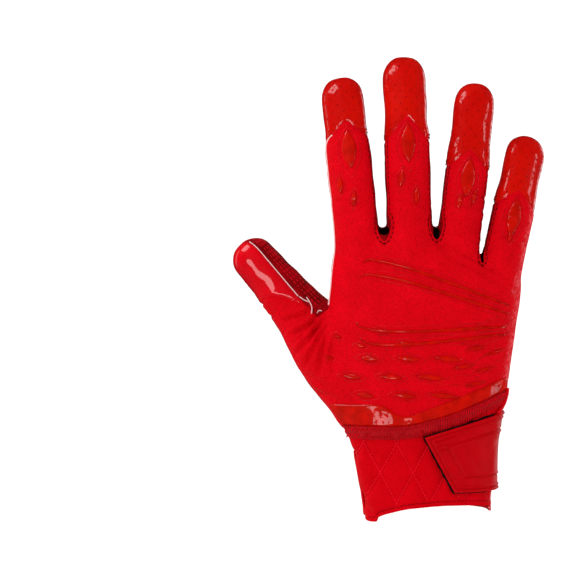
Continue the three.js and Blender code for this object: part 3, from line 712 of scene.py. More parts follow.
FOLD_ROWS = {
    Side.BACK: (
        (-54, 103, -71, 91, 1.1, 0.95),
        (-53, 101, -68, 82, 1.1, 1.0),
        (-52, 99, -63, 76, 1.1, 0.9),
        (-51, 97, -57, 72, 1.2, 0.75),
        (-56, 105, -76, 99, 1.0, 0.7),
        (-49, 93, -50, 70, 1.4, 0.4),
        (-58, 100, -66, 90, 0.9, 0.6),
        (-56, 97, -64, 84, 0.9, 0.6),
        (3, 138, 39, 120, 1.3, 0.45),
        (6, 133, 41, 114, 1.3, 0.35),
        (10, 144, 26, 137, 1.1, 0.3),
        (8, 158, 27, 154, 1.1, 0.42),
        (9, 151, 26, 149, 1.1, 0.3),
        (16, 164, 30, 160, 1.0, 0.3),
        (-20, 159, 0, 156, 1.2, 0.3),
        (-21, 152, -3, 150, 1.2, 0.22),
        (-51, 160, -33, 157, 1.2, 0.25),
        (33, 142, 50, 136, 1.2, 0.35),
        (36, 150, 52, 145, 1.1, 0.25),
        (-62, 66, -44, 58, 1.6, 0.4),
        (-66, 73, -50, 66, 1.5, 0.35),
    ),
    Side.PALM: (
        (40, 106, -38, 116, 1.9, 0.55),
        (43, 96, 4, 101, 1.7, 0.4),
        (-30, 126, -44, 112, 1.6, 0.4),
        (33, 50, 28, 104, 2.3, 0.6),
        (39, 62, 36, 112, 2.0, 0.5),
        (18, 44, 14, 92, 2.4, 0.4),
        (0, 42, -6, 74, 2.2, 0.45),
        (-22, 48, 34, 45, 2.0, 0.55),
        (-16, 36, 36, 34, 1.8, 0.45),
        (-48, 143, -27, 143, 1.5, 0.4),
        (-22, 143, 1, 143, 1.5, 0.4),
        (5, 141, 27, 137, 1.5, 0.4),
        (29, 128, 48, 121, 1.5, 0.4),
        (-53, 176, -34, 174, 1.4, 0.35),
        (-22, 181, -2, 181, 1.4, 0.35),
        (10, 172, 30, 176, 1.4, 0.35),
        (33, 155, 53, 160, 1.3, 0.35),
    ),
}
FOLDS = [Fold(side, row[:2], row[2:4], *row[4:]) for side, rows in FOLD_ROWS.items() for row in rows]


@dataclass
class Relief:
    """The small shape of the skin's surface: knuckles, folds, quilting and the dip along each seam."""

    pattern: Pattern
    quilt_pitch: float = 16 * MM
    quilt_ways: tuple = ((0.55, -0.0875), (-0.55, 0.0344))
    quilt_top: float = 0.9 * MM
    quilt_depth: float = 1.65 * MM
    fold_share: float = 1.7
    cloth_wave: float = 0.16 * MM
    leather_wave: float = 0.32 * MM
    knuckle_rise: float = 0.9 * MM
    knuckle_reach: float = 8 * MM
    rim_line: float = 2.2 * MM
    knuckles: tuple = ((-35, 123), (-10, 126), (14, 122), (35, 112))

    def quilt_distance(self, points: Points) -> Points:
        """How far each point lies from the nearest quilting line."""
        best = np.full(len(points), 1.0)
        for lean, foot in self.quilt_ways:
            place = (points[:, 0] - across_at(foot) - lean * points[:, 2]) / self.quilt_pitch
            off = np.abs(place - np.rint(place)) * self.quilt_pitch / math.hypot(1, lean)
            best = np.minimum(best, off)
        return best

    def height(self, points: Points, panels: Points) -> Points:
        """How far the surface stands out of the smooth skin.

        Args:
            points: places on the flat skin.
            panels: the Panel number of each.

        Returns:
            A height in metres for each point.
        """
        x, y, z = points.T
        out = self.cloth_wave * rolling(points, 11 * MM, 3)
        for fold in FOLDS:
            out += self.fold_share * fold.height(points)
        for px, pz in self.knuckles:
            gap = np.hypot(x - px * MM, (z - pz * MM) * 0.8)
            out += self.knuckle_rise * np.exp(-(gap / self.knuckle_reach) ** 2) * (y < 0)
        leather = np.isin(panels, (Panel.PALM, Panel.THUMB)) & (y > 0)
        out += leather * self.leather_wave * rolling(points, 13 * MM, 8, (1, 1, 3.2))
        off = self.quilt_distance(points)
        puff = self.quilt_depth * (1 - np.exp(-(off / (2.2 * MM)) ** 1.1)) - self.quilt_top
        over_rim = z - self.pattern.rim(x)
        turned = np.exp(-((over_rim - self.rim_line) / (0.5 * MM)) ** 2) * 0.45 * MM
        out += (panels == Panel.CUFF) * (puff * smooth_step(over_rim, 1 * MM, 4 * MM) - turned)
        return out

    def seam_dip(self, gap: Points) -> Points:
        """The groove right along a seam with the soft roll beside it, from the distance to the seam."""
        groove = 0.5 * MM * np.exp(-(gap / (0.75 * MM)) ** 2)
        return 0.14 * MM * np.exp(-((gap - 1.9 * MM) / MM) ** 2) - groove


@dataclass
class SeamLine:
    """A run of one seam: the two pieces that meet along it, and its points in order."""

    pieces: frozenset[int]
    points: Points

    @property
    def length(self) -> float:
        """How long the run is."""
        return float(np.linalg.norm(np.diff(self.points, axis=0), axis=1).sum())


def traced(edges: Iterable[tuple[int, int]]) -> list[list[int]]:
    """Orders loose edges into runs.

    Args:
        edges: pairs of point numbers.

    Returns:
        The runs, each a list of point numbers from one end to the other.
    """
    links: dict[int, list[int]] = {}
    for a, b in edges:
        links.setdefault(a, []).append(b)
        links.setdefault(b, []).append(a)
    left = {frozenset(edge) for edge in edges}
    starts = [a for a, near in links.items() if len(near) != 2] + list(links)
    runs = []
    for start in starts:
        while True:
            here, run = start, [start]
            while True:
                step = next((b for b in links[here] if frozenset((here, b)) in left), None)
                if step is None:
                    break
                left.discard(frozenset((here, step)))
                run.append(step)
                here = step
                if len(links[here]) != 2:
                    break
            if len(run) < 2:
                break
            runs.append(run)
    return runs


def cut_mesh(work: bmesh.types.BMesh, name_of: Callable[[Points], Points]) -> dict:
    """Cuts a mesh so that no face lies on both sides of a line, and numbers its faces.

    Args:
        work: the mesh, which is changed.
        name_of: gives the number of the piece that each point belongs to.

    Returns:
        Each seam's edges as pairs of points, by the two numbers that meet there.
    """
    work.verts.index_update()
    verts, edges = work.verts[:], work.edges[:]
    points = np.array([v.co[:] for v in verts])
    numbers = name_of(points)
    ends = np.array([(e.verts[0].index, e.verts[1].index) for e in edges])
    crossing = np.nonzero(numbers[ends[:, 0]] != numbers[ends[:, 1]])[0]
    first, last = points[ends[crossing, 0]], points[ends[crossing, 1]]
    own = numbers[ends[crossing, 0]]
    low, high = np.zeros(len(crossing)), np.ones(len(crossing))
    for _ in range(10):
        middle = (low + high) / 2
        same = name_of(first + (last - first) * middle[:, None]) == own
        low, high = np.where(same, middle, low), np.where(same, high, middle)
    place = np.clip(low, 0.1, 0.9)
    known = {v: int(n) for v, n in zip(verts, numbers)}
    cuts, touched = set(), set()
    for share, i in zip(place, crossing):
        edge = edges[i]
        touched.update(edge.link_faces)
        cuts.add(bmesh.utils.edge_split(edge, edge.verts[0], float(share))[1])
    poked = []
    for face in touched:
        at = [v for v in face.verts if v in cuts]
        if len(at) == 2:
            bmesh.utils.face_split(face, at[0], at[1])
        elif len(at) > 2:
            poked.append(face)
    bmesh.ops.poke(work, faces=poked)
    seams: dict[frozenset[int], list] = {}
    for face in work.faces:
        number = next((known[v] for v in face.verts if v in known), None)
        if number is None:
            number = int(name_of(np.array([face.calc_center_median()[:]]))[0])
        face.material_index = number
    for v in cuts:
        for edge in v.link_edges:
            if len(edge.link_faces) == 2:
                pair = frozenset(f.material_index for f in edge.link_faces)
                if len(pair) == 2:
                    seams.setdefault(pair, []).append(edge)
    return {pair: list(set(found)) for pair, found in seams.items()}


def softened(line: Points, times: int) -> Points:
    """A line with its bends smoothed out that many times; its ends stay."""
    line = np.array(line, dtype=float)
    for _ in range(times):
        line[1:-1] = (line[:-2] + 2 * line[1:-1] + line[2:]) / 4
    return line


def mesh_points(mesh: bpy.types.Mesh) -> Points:
    """All of a mesh's points."""
    flat = np.empty(len(mesh.vertices) * 3)
    mesh.vertices.foreach_get("co", flat)
    return flat.reshape(-1, 3)


def mesh_ways(mesh: bpy.types.Mesh) -> Points:
    """The way out of the skin at all of a mesh's points, each one metre long."""
    flat = np.empty(len(mesh.vertices) * 3)
    mesh.attributes["outward"].data.foreach_get("vector", flat)
    return unit(flat.reshape(-1, 3))


def put_points(mesh: bpy.types.Mesh, points: Points) -> None:
    """Moves all of a mesh's points."""
    mesh.vertices.foreach_set("co", np.asarray(points, dtype=np.float32).ravel())
    mesh.update()


def nearest(tree_points: Points, points: Points) -> Points:
    """The distance from each point to the closest of the others."""
    tree = KDTree(len(tree_points))
    for i, point in enumerate(tree_points):
        tree.insert(point, i)
    tree.balance()
    return np.array([tree.find(point)[2] for point in points])


@dataclass
class Skin:
    """The surface that everything else lies on: it finds the nearest place and the way out of it."""

    points: Points
    ways: Points
    faces: list

    def __post_init__(self) -> None:
        """Sets up the search for near faces and points."""
        self.tree = BVHTree.FromPolygons([tuple(p) for p in self.points], self.faces)
        self.near = KDTree(len(self.points))
        for i, point in enumerate(self.points):
            self.near.insert(point, i)
        self.near.balance()

    def way(self, point: Vector) -> Vector:
        """The smooth way out of the skin near a point."""
        total = Vector((0, 0, 0))
        for _, i, gap in self.near.find_n(point, 5):
            total += Vector(self.ways[i]) / (gap + 0.3 * MM)
        return total.normalized()

    def lay(self, points: Points, lift: float) -> tuple[Points, Points]:
        """Brings points onto the skin.

        Args:
            points: places near it.
            lift: how far above it they end up.

        Returns:
            The places and the ways out of the skin there.
        """
        placed, ways = [], []
        for point in points:
            hit = self.tree.find_nearest(Vector(point))[0]
            way = self.way(hit)
            placed.append(hit + way * lift)
            ways.append(way)
        return np.array(placed), np.array(ways)

    def from_back(self, x: float, z: float) -> Vector | None:
        """The place on the back of the hand at that x and z."""
        return self.tree.ray_cast(Vector((x, -0.2, z)), Vector((0, 1, 0)))[0]

    def on_back(self, places: Iterable[Sequence[float]]) -> Points:
        """The points of the back of the hand at those (x, z) places, where there is any."""
        found = [self.from_back(x, z) for x, z in places]
        return np.array([point[:] for point in found if point is not None])

    def from_palm(self, x: float, z: float) -> Vector | None:
        """The place on the palm side at that x and z."""
        return self.tree.ray_cast(Vector((x, 0.2, z)), Vector((0, -1, 0)))[0]


@dataclass
class Workshop:
    """Makes finished pieces out of the skin: cut patches, laid cords of thread, rows of stitches."""

    form: Object
    hand: HandForm
    pattern: Pattern
    relief: Relief
    smooth_angle: float = 60
    search: tuple = (0.6 * MM, 1.3 * MM)

    def __post_init__(self) -> None:
        """Keeps the smooth skin's points, ways and faces at hand."""
        mesh = self.form.data
        self.points = mesh_points(mesh)
        self.ways = mesh_ways(mesh)
        self.faces = [tuple(face.vertices) for face in mesh.polygons]
        self.smooth = Skin(self.points, self.ways, self.faces)
        self.skin = self.smooth
        self.stitch = self.one_stitch()

    def one_stitch(self) -> tuple[Points, list]:
        """Models one plump stitch, a unit long, and gives its points and faces."""
        deselect()
        bpy.ops.mesh.primitive_uv_sphere_add(segments=6, ring_count=6, radius=0.5, location=(0, 0, 0))
        obj = bpy.context.active_object
        points = mesh_points(obj.data)[:, [2, 0, 1]]
        points[:, 0] = np.sign(points[:, 0]) * np.abs(points[:, 0] * 2) ** 0.7 / 2
        faces = [tuple(face.vertices) for face in obj.data.polygons]
        bpy.data.objects.remove(obj, do_unlink=True)
        return points, faces

    def raw(self, name: str, points: Points, faces: list) -> Object:
        """Links a new mesh object of those points and faces."""
        mesh = bpy.data.meshes.new(name)
        mesh.from_pydata([tuple(p) for p in points], [], faces)
        obj = bpy.data.objects.new(name, mesh)
        bpy.context.scene.collection.objects.link(obj)
        return obj

    def finish(
        self,
        obj: Object,
        material: Material,
        slot: str,
        nodes: Sequence[str] = (),
    ) -> None:
        """Drapes a piece, dresses it and ties it to the frame.

        Args:
            obj: the piece, still on the flat glove.
            material: its finish.
            slot: not used.
            nodes: the CAD nodes that it stands for.
        """
        put_points(obj.data, self.hand.drape(mesh_points(obj.data)))
        obj.data.materials.clear()
        obj.data.materials.append(material)
        pick(obj)
        bpy.ops.object.shade_smooth_by_angle(angle=math.radians(self.smooth_angle))
        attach(obj, BODY)
        if nodes:
            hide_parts(*nodes)
        LOG.info("%s: %d faces", obj.name, len(obj.data.polygons))

    def thicken(self, obj: Object, thickness: float, offset: float = -1) -> None:
        """Gives a sheet its thickness: inwards from where it lies at an offset of -1, to both sides at 0."""
        wall = obj.modifiers.new("thickness", "SOLIDIFY")
        wall.thickness = thickness
        wall.offset = offset
        pick(obj)
        bpy.ops.object.modifier_apply(modifier=wall.name)

    def patch(
        self,
        name: str,
        inside: Inside,
        lift: Callable[[Points, Points], Points],
        thickness: float,
        fine: int = 1,
        follow: float = 1,
    ) -> Object:
        """Copies the stretch of skin inside an outline and raises it to a layer of its own.

        Args:
            name: what the piece is called.
            inside: tells which points lie inside the outline.
            lift: the height above the skin, from the points and their distance to the outline.
            thickness: how thick the layer is.
            fine: how many times its faces are halved first.
            follow: how far it follows the skin's relief, from 0 to 1.

        Returns:
            The layer, on the flat glove.
        """
        near = inside(self.points)
        for reach in self.search:
            for turn in np.arange(8) * math.pi / 4:
                shift = np.array([math.cos(turn) * reach, 0, math.sin(turn) * reach])
                near |= inside(self.points + shift)
        kept = [face for face in self.faces if any(near[i] for i in face)]
        used = sorted({i for face in kept for i in face})
        order = {i: k for k, i in enumerate(used)}
        obj = self.raw(name, self.points[used], [tuple(order[i] for i in face) for face in kept])
        outward = obj.data.attributes.new("outward", "FLOAT_VECTOR", "POINT")
        outward.data.foreach_set("vector", self.ways[used].astype(np.float32).ravel())
        pick(obj)
        edit_all(lambda: bpy.ops.mesh.subdivide(number_cuts=2 ** fine - 1))
        work = bmesh.new()
        work.from_mesh(obj.data)
        cut_mesh(work, lambda points: inside(points).astype(int))
        bmesh.ops.delete(work, geom=[f for f in work.faces if f.material_index == 0], context="FACES")
        work.verts.index_update()
        rim = np.array([v.co[:] for v in work.verts if v.is_boundary])
        work.to_mesh(obj.data)
        work.free()
        points, ways = mesh_points(obj.data), mesh_ways(obj.data)
        gap = nearest(rim, points)
        skin = self.relief.height(points, self.pattern.panels(points)) * follow
        put_points(obj.data, points + ways * (skin + lift(points, gap))[:, None])
        self.thicken(obj, thickness)
        return obj

    def even(self, line: Points, step: float, soften: int = 3) -> Points:
        """Smooths a line and spaces its points evenly.

        Args:
            line: the points in order.
            step: the distance between the new ones.
            soften: how many times it is smoothed.

        Returns:
            The new points.
        """
        line = softened(line, soften)
        run = np.concatenate([[0], np.cumsum(np.linalg.norm(np.diff(line, axis=0), axis=1))])
        places = np.linspace(0, run[-1], max(int(run[-1] / step) + 1, 2))
        return np.column_stack([np.interp(places, run, line[:, i]) for i in range(3)])

    def beside(self, line: Points, panel: Panel, distance: float) -> Points:
        """Moves a line sideways along the skin, into one of the pieces that meet there.

        Args:
            line: the points in order.
            panel: the piece that it moves into.
            distance: how far.

        Returns:
            The moved points.
        """
        placed, ways = self.smooth.lay(line, 0)
        runs = np.gradient(placed, axis=0)
        side = unit(np.cross(ways, runs))
        tries = [placed + side * distance * sign for sign in (1, -1)]
        scores = [np.count_nonzero(self.pattern.panels(t) == panel) for t in tries]
        return tries[int(scores[1] > scores[0])]

    def cords(
        self,
        name: str,
        lines: Sequence[Points],
        radius: float,
        lift: float,
        sides: int = 6,
        skin: Skin | None = None,
        soften: int = 3,
    ) -> Object:
        """Lays round threads or piping on the skin, all in one piece.

        Args:
            name: what the piece is called.
            lines: where they run.
            radius: half their thickness.
            lift: how far their middles lie above the skin.
            sides: how many faces run round each.
            skin: what they lie on, if not the finished skin.
            soften: how many times their bends are smoothed.

        Returns:
            The piece, on the flat glove.
        """
        points, faces = [], []
        turns = np.arange(sides) * 2 * math.pi / sides
        for line in lines:
            if len(line) < 3:
                continue
            middle, ways = (skin or self.skin).lay(line, lift)
            middle = softened(middle, soften)
            runs = np.gradient(middle, axis=0)
            side = unit(np.cross(ways, runs))
            start = len(points)
            for m, w, s in zip(middle, ways, side):
                for turn in turns:
                    points.append(m + (w * math.sin(turn) + s * math.cos(turn)) * radius)
            for i in range(len(middle) - 1):
                for k in range(sides):
                    a, b = start + i * sides + k, start + i * sides + (k + 1) % sides
                    faces.append((a, b, b + sides, a + sides))
            faces.append(tuple(start + k for k in reversed(range(sides))))
            end = start + (len(middle) - 1) * sides
            faces.append(tuple(end + k for k in range(sides)))
        obj = self.raw(name, np.array(points), faces)
        pick(obj)
        edit_all(lambda: bpy.ops.mesh.normals_make_consistent(inside=False))
        return obj

    def stitches(
        self,
        name: str,
        lines: Sequence[Points],
        length: float = 1.9 * MM,
        gap: float = 0.7 * MM,
        thick: float = 0.55 * MM,
        lift: float = 0.08 * MM,
        skin: Skin | None = None,
    ) -> Object:
        """Sews rows of stitches along lines on the skin, all in one piece.

        Args:
            name: what the piece is called.
            lines: where the rows run.
            length: how long a stitch is.
            gap: the space to the next one.
            thick: the thread's thickness.
            lift: how far the stitches' middles lie above the skin.
            skin: what they lie on, if not the finished skin.

        Returns:
            The piece, on the flat glove.
        """
        shape, faces = self.stitch
        points, all_faces = [], []
        for line in lines:
            if len(line) < 3:
                continue
            path = self.even(line, length + gap, 0)
            middle, ways = (skin or self.skin).lay((path[:-1] + path[1:]) / 2, lift)
            runs = path[1:] - path[:-1]
            for m, w, run in zip(middle, ways, runs):
                run = run - w * run.dot(w)
                run = run / max(np.linalg.norm(run), 1e-9)
                side = np.cross(w, run)
                base = len(points) * len(shape)
                along = shape[:, :1] * length * run
                points.append(m + along + shape[:, 1:2] * thick * side + shape[:, 2:] * thick * w)
                all_faces.extend(tuple(base + i for i in face) for face in faces)
        return self.raw(name, np.vstack(points), all_faces)


@dataclass
class Panels:
    """Cuts the skin along its seams into the glove's pieces and gives each its relief and wall."""

    shop: Workshop
    wall: float = 1.3 * MM
    cuts: dict = field(default_factory=lambda: {Panel.BACK: (0.17, 0.2), Panel.PALM: (0.19, 0.25)})

    def cut(self) -> tuple[Object, list[SeamLine]]:
        """Cuts a copy of the skin along its seams.

        Returns:
            The copy, with its points' distance to the seams as the attribute seam, and the seams.
        """
        shop = self.shop
        form = shop.form.copy()
        form.data = shop.form.data.copy()
        bpy.context.scene.collection.objects.link(form)
        form.data.materials.clear()
        for panel in Panel:
            form.data.materials.append(bpy.data.materials.new(f"cut_{panel.name}"))
        work = bmesh.new()
        work.from_mesh(form.data)
        found = cut_mesh(work, shop.pattern.panels)
        work.verts.index_update()
        work.verts.ensure_lookup_table()
        seams, edges_of_seams = [], []
        for pair, edges in found.items():
            for run in traced([(e.verts[0].index, e.verts[1].index) for e in edges]):
                line = np.array([work.verts[i].co[:] for i in run])
                seams.append(SeamLine(pair, line))
            if Panel.WASTE not in pair:
                edges_of_seams += [v.co[:] for e in edges for v in e.verts]
        work.to_mesh(form.data)
        work.free()
        gap = nearest(np.array(edges_of_seams), mesh_points(form.data))
        form.data.attributes.new("seam", "FLOAT", "POINT").data.foreach_set("value", gap.astype(np.float32))
        return form, seams

    def build(self, finishes: dict) -> list[SeamLine]:
        """Makes every piece of the skin.

        Args:
            finishes: for each Panel its material, a slot name that nothing reads, and the height it stands out.

        Returns:
            The seams between the pieces.
        """
        shop = self.shop
        form, seams = self.cut()
        pick(form)
        edit_all(lambda: bpy.ops.mesh.separate(type="MATERIAL"))
        found = list(bpy.context.selected_objects)
        skin_points, skin_ways, skin_faces = [], [], []
        pieces, areas = [], {}
        for obj in found:
            panel = Panel[obj.data.materials[0].name.split("_", 1)[1].split(".")[0]]
            if panel == Panel.WASTE:
                bpy.data.objects.remove(obj, do_unlink=True)
                continue
            self.keep_largest(obj)
            self.shape(obj, panel, finishes[panel][2])
            base = sum(len(p) for p in skin_points)
            skin_points.append(mesh_points(obj.data))
            skin_ways.append(mesh_ways(obj.data))
            skin_faces += [tuple(base + i for i in face.vertices) for face in obj.data.polygons]
            areas[panel] = sum(face.area for face in obj.data.polygons)
            pieces.append((obj, panel))
        shop.skin = Skin(np.vstack(skin_points), np.vstack(skin_ways), skin_faces)
        for obj, panel in pieces:
            obj.name = f"{panel.node}_skin"
            shop.thicken(obj, self.wall)
            material, slot, _ = finishes[panel]
            shop.finish(obj, material, slot, [panel.node])
            self.declare(panel, areas[panel])
        return seams

    def declare(self, panel: Panel, area: float) -> None:
        """Logs the cloth area of the two large sheets that the hand stretches."""
        if panel in self.cuts:
            LOG.info("%s: %.4f square metres of cloth", panel.node, area)

    def keep_largest(self, obj: Object) -> None:
        """Leaves only the largest body of a piece, without crumbs from beyond a seam."""
        work = bmesh.new()
        work.from_mesh(obj.data)
        left = set(work.faces)
        bodies = []
        while left:
            body, edge = set(), [left.pop()]
            while edge:
                face = edge.pop()
                body.add(face)
                for near in face.edges:
                    for other in near.link_faces:
                        if other in left:
                            left.discard(other)
                            edge.append(other)
            bodies.append(body)
        largest = max(bodies, key=len)
        crumbs = [face for body in bodies if body is not largest for face in body]
        bmesh.ops.delete(work, geom=crumbs, context="FACES")
        work.to_mesh(obj.data)
        work.free()

    def shape(self, obj: Object, panel: Panel, stand: float) -> None:
        """Moves a piece's points out of the smooth skin by its relief.

        Args:
            obj: the piece.
            panel: which one it is.
            stand: how far the whole piece stands out.
        """
        shop = self.shop
        points, ways = mesh_points(obj.data), mesh_ways(obj.data)
        gap = np.empty(len(points), dtype=np.float32)
        obj.data.attributes["seam"].data.foreach_get("value", gap)
        height = shop.relief.height(points, np.full(len(points), int(panel))) + stand
        height = height * smooth_step(gap, -1 * MM, 2 * MM) + shop.relief.seam_dip(gap)
        if panel in (Panel.PALM, Panel.THUMB, Panel.CAP):
            rows = obj.data.attributes.new("lattice", "FLOAT_VECTOR", "POINT").data
            rows.foreach_set("vector", shop.pattern.lattice(points, panel).astype(np.float32).ravel())
        # deep sinks the sidewalls into the crotch and also drives the painted black shade of that hollow in the
        # sidewall cloth.
        if panel in WALLS:
            deep = shop.pattern.crotch(points, WALLS.index(panel)).astype(np.float32)
            obj.data.attributes.new("deep", "FLOAT", "POINT").data.foreach_set("value", deep)
            height = height - deep * 1.3 * MM
        put_points(obj.data, points + ways * height[:, None])


def leaf(middle: tuple[float, float], length: float, width: float, turn: float) -> list[tuple[float, float]]:
    """A leaf's outline in the XZ plane.

    Args:
        middle: its middle, as (x, z).
        length: from point to point.
        width: across.
        turn: its length's turn from +X, in radians.

    Returns:
        The corners of the outline.
    """
    shares = np.linspace(0, 1, 17)
    half = [(length * (s - 0.5), width / 2 * math.sin(math.pi * s) ** 0.9) for s in shares]
    outline = half + [(x, -z) for x, z in half[-2:0:-1]]
    cos, sin = math.cos(turn), math.sin(turn)
    return [(middle[0] + x * cos - z * sin, middle[1] + x * sin + z * cos) for x, z in outline]


@dataclass
class RaisedPrint:
    """The rubber print on the back: finger pads, swept ribs, drops and the band above the hem."""

    shop: Workshop
    thickness: float = 0.7 * MM
    clear: float = 0.35 * MM
    rib_width: float = 1.5 * MM
    ribs: tuple = (
        (-0.36, 0.4, 0.83, 0.2, 0.035),
        (-0.38, 0.4, 0.76, 0.17, 0.035),
        (-0.4, 0.4, 0.55, 0.015, -0.035),
        (-0.38, 0.4, 0.48, -0.02, -0.035),
    )
    drop_rows: tuple = ((0.385, -0.33), (0.3, -0.42), (0.215, -0.35))
    drop_step: float = 0.2
    drop_length: float = 9 * MM
    drop_growth: float = 2.5 * MM
    drop_width: float = 2.8 * MM
    drop_turn: float = -0.1
    pad_length: float = 20 * MM
    pad_width: float = 7 * MM
    below_cap: float = 4 * MM
    band_top: tuple = ((-0.44, 0.17), (-0.27, 0.17), (-0.16, 0.12), (0.02, 0.17), (0.36, 0.29))
    band_span: tuple = (-50 * MM, 36.9 * MM)
    band_edge: float = 1.1 * MM
    band_wave: float = 0.22 * MM
    hem_width: float = 6 * MM
    small_leaves: tuple = (
        ((-45.3, 166.8), 8.5, 2.9, 1.62),
        ((-38.7, 160.0), 8.0, 2.5, 1.5),
        ((-15.1, 169.8), 9.0, 2.8, 1.42),
        ((-7.8, 161.3), 8.5, 2.5, 1.5),
        ((13.6, 158.5), 8.0, 2.4, 1.35),
        ((20.6, 160.6), 9.0, 1.8, 1.3),
        ((39.0, 141.5), 7.0, 2.0, 1.25),
    )
    small_drops: tuple = (
        ((-25.5, 94.5), 4.5, 1.9, -0.3),
        ((-47.0, 91.5), 4.2, 1.8, -0.2),
        ((-35.5, 87.0), 4.6, 1.9, -0.15),
        ((-14.0, 88.5), 5.6, 2.2, -0.1),
        ((-51.0, 81.0), 4.0, 1.7, -0.2),
        ((-31.0, 80.6), 5.0, 2.0, -0.1),
        ((21.0, 86.0), 8.5, 1.8, 0.2),
        ((14.5, 77.0), 9.0, 1.7, 0.18),
        ((25.0, 75.5), 9.5, 1.4, 0.24),
        ((20.0, 68.5), 9.0, 1.4, 0.18),
        ((30.5, 84.0), 9.0, 1.2, 0.3),
    )
    lenses: tuple = (
        ((26.0, 91.0), 22.0, 3.6, 0.24),
        ((30.0, 81.5), 20.0, 3.2, 0.3),
        ((12.0, 70.5), 18.0, 2.6, 0.12),
        ((31.0, 98.5), 16.0, 2.6, 0.16),
        ((17.0, 96.0), 15.0, 2.0, 0.1),
    )

    def on_back(self, outline: Sequence[Sequence[float]]) -> Inside:
        """Tells which points lie on the back of the hand inside an outline."""
        return lambda points: within(points, outline) & (points[:, 1] < 0)

    def rounded(self, edge: float, crown: float = 0) -> Callable[[Points, Points], Points]:
        """A height that rises from the outline over that distance, and a little more to the middle."""
        top = self.clear + self.thickness

        def lift(points: Points, gap: Points) -> Points:
            """The height at those points."""
            return top * (0.25 + 0.75 * round_edge(gap, edge)) + crown * smooth_step(gap, 0, 3 * MM)

        return lift

    def printed(
        self, node: str, outline: Sequence, edge: float, material: Material, crown: float = 0
    ) -> None:
        """Makes one raised print.

        Args:
            node: the CAD node that it stands for.
            outline: its outline on the back, as (x, z).
            edge: how wide its rounded edge is.
            material: its finish.
            crown: how much higher its middle is.
        """
        piece = self.shop.patch(f"{node}_print", self.on_back(outline), self.rounded(edge, crown), MM, 2)
        self.shop.finish(piece, material, "print", [node])

    def pad_leaf(self, finger: Finger, back: float = 0, longer: float = 0, wider: float = 0) -> list:
        """The outline of a finger's leaf, or of a larger one that lies further back."""
        along = finger.length * (1 - finger.cap) - self.below_cap - self.pad_length / 2 - back
        turn = math.pi / 2 - math.radians(finger.lean)
        return leaf(finger.axis.point(0, along), self.pad_length + longer, self.pad_width + wider, turn)

    def drop_leaves(self, longer: float = 0, wider: float = 0) -> dict[str, list]:
        """The outline of each large drop, or of a larger one about it, by the name of its node."""
        outlines = {}
        for row, (up, start) in enumerate(self.drop_rows):
            for i in range(3):
                length = self.drop_length + i * self.drop_growth + longer
                middle = (across_at(start + i * self.drop_step), up_at(up))
                node = f"back_drop_{row + 1}_{i + 1}"
                outlines[node] = leaf(middle, length, self.drop_width + wider, self.drop_turn)
        return outlines

    def pads(self, material: Material) -> None:
        """The long leaf on each finger's back."""
        for finger in FINGERS:
            self.printed(f"finger_pad_{finger.name}", self.pad_leaf(finger), 1.1 * MM, material, 0.2 * MM)

    def rib_line(self, rib: Sequence[float], count: int) -> Points:
        """The middle line of a swept rib, as (x, z) points."""
        start, end, up, fall, swell = rib
        share = np.linspace(0, 1, count)
        height = up - fall * share + swell * np.sin(math.pi * np.sqrt(share))
        across = (start + (end - start) * share) * HAND_WIDTH
        return np.column_stack([across, CUFF_LENGTH + height * PALM_LENGTH])

    def swept(self, material: Material) -> None:
        """The four ribs that sweep over the back."""
        for index, rib in enumerate(self.ribs):
            line = self.rib_line(rib, 40)
            width = self.rib_width / 2 * np.minimum(1, np.sin(np.linspace(0.06, math.pi - 0.02, 40)) * 2.2)
            low = np.column_stack([line[:, 0], line[:, 1] - width])
            high = np.column_stack([line[:, 0], line[:, 1] + width])[::-1]
            self.printed(f"back_rib_{index + 1}", np.vstack([low, high]), 0.7 * MM, material)

    def drops(self, material: Material) -> None:
        """Three rows of drops that grow to the right."""
        for node, outline in self.drop_leaves().items():
            self.printed(node, outline, 0.9 * MM, material)

    def small(self, material: Material) -> None:
        """The small leaves and drops between the larger ones."""
        rows = (("small_leaves_print", self.small_leaves), ("small_drops_print", self.small_drops))
        for name, leaves in rows:
            outlines = []
            for (x, z), length, width, turn in leaves:
                outlines.append(leaf((x * MM, z * MM), length * MM, width * MM, turn))

            def inside(points: Points) -> Points:
                """Which points lie inside one of the leaves."""
                return np.any([within(points, outline) for outline in outlines], axis=0) & (points[:, 1] < 0)

            piece = self.shop.patch(name, inside, self.rounded(0.8 * MM), 0.8 * MM, 2)
            self.shop.finish(piece, material, "print")

    def contours(self, material: Material) -> None:
        """The fine raised line round each leaf and drop, and the long lenses at the little finger's side."""
        outlines = [self.pad_leaf(finger, 1.5 * MM, 6 * MM, 4 * MM) for finger in FINGERS]
        outlines += self.drop_leaves(5.5 * MM, 2.4 * MM).values()
        for (x, z), length, width, turn in (*self.small_leaves, *self.small_drops, *self.lenses):
            outlines.append(leaf((x * MM, z * MM), (length + 3.5) * MM, (width + 1.8) * MM, turn))
        lines = []
        for outline in outlines:
            ring = self.shop.smooth.on_back([*outline, outline[0]])
            lines.append(self.shop.even(ring, 0.8 * MM, 0))
        for rib in self.ribs:
            for off in (2.6, -2.2):
                line = self.rib_line(rib, 60)[8:-4] + np.array([0, off * MM])
                lines.append(self.shop.smooth.on_back(line))
        piece = self.shop.cords("print_contours", lines, 0.22 * MM, 0.0, 6, soften=0)
        self.shop.finish(piece, material, "print")

    def band(self, material: Material) -> None:
        """The smooth wet-looking band above the hem."""
        top = faired([(across_at(a), up_at(u)) for a, u in self.band_top], 10)
        pattern = self.shop.pattern

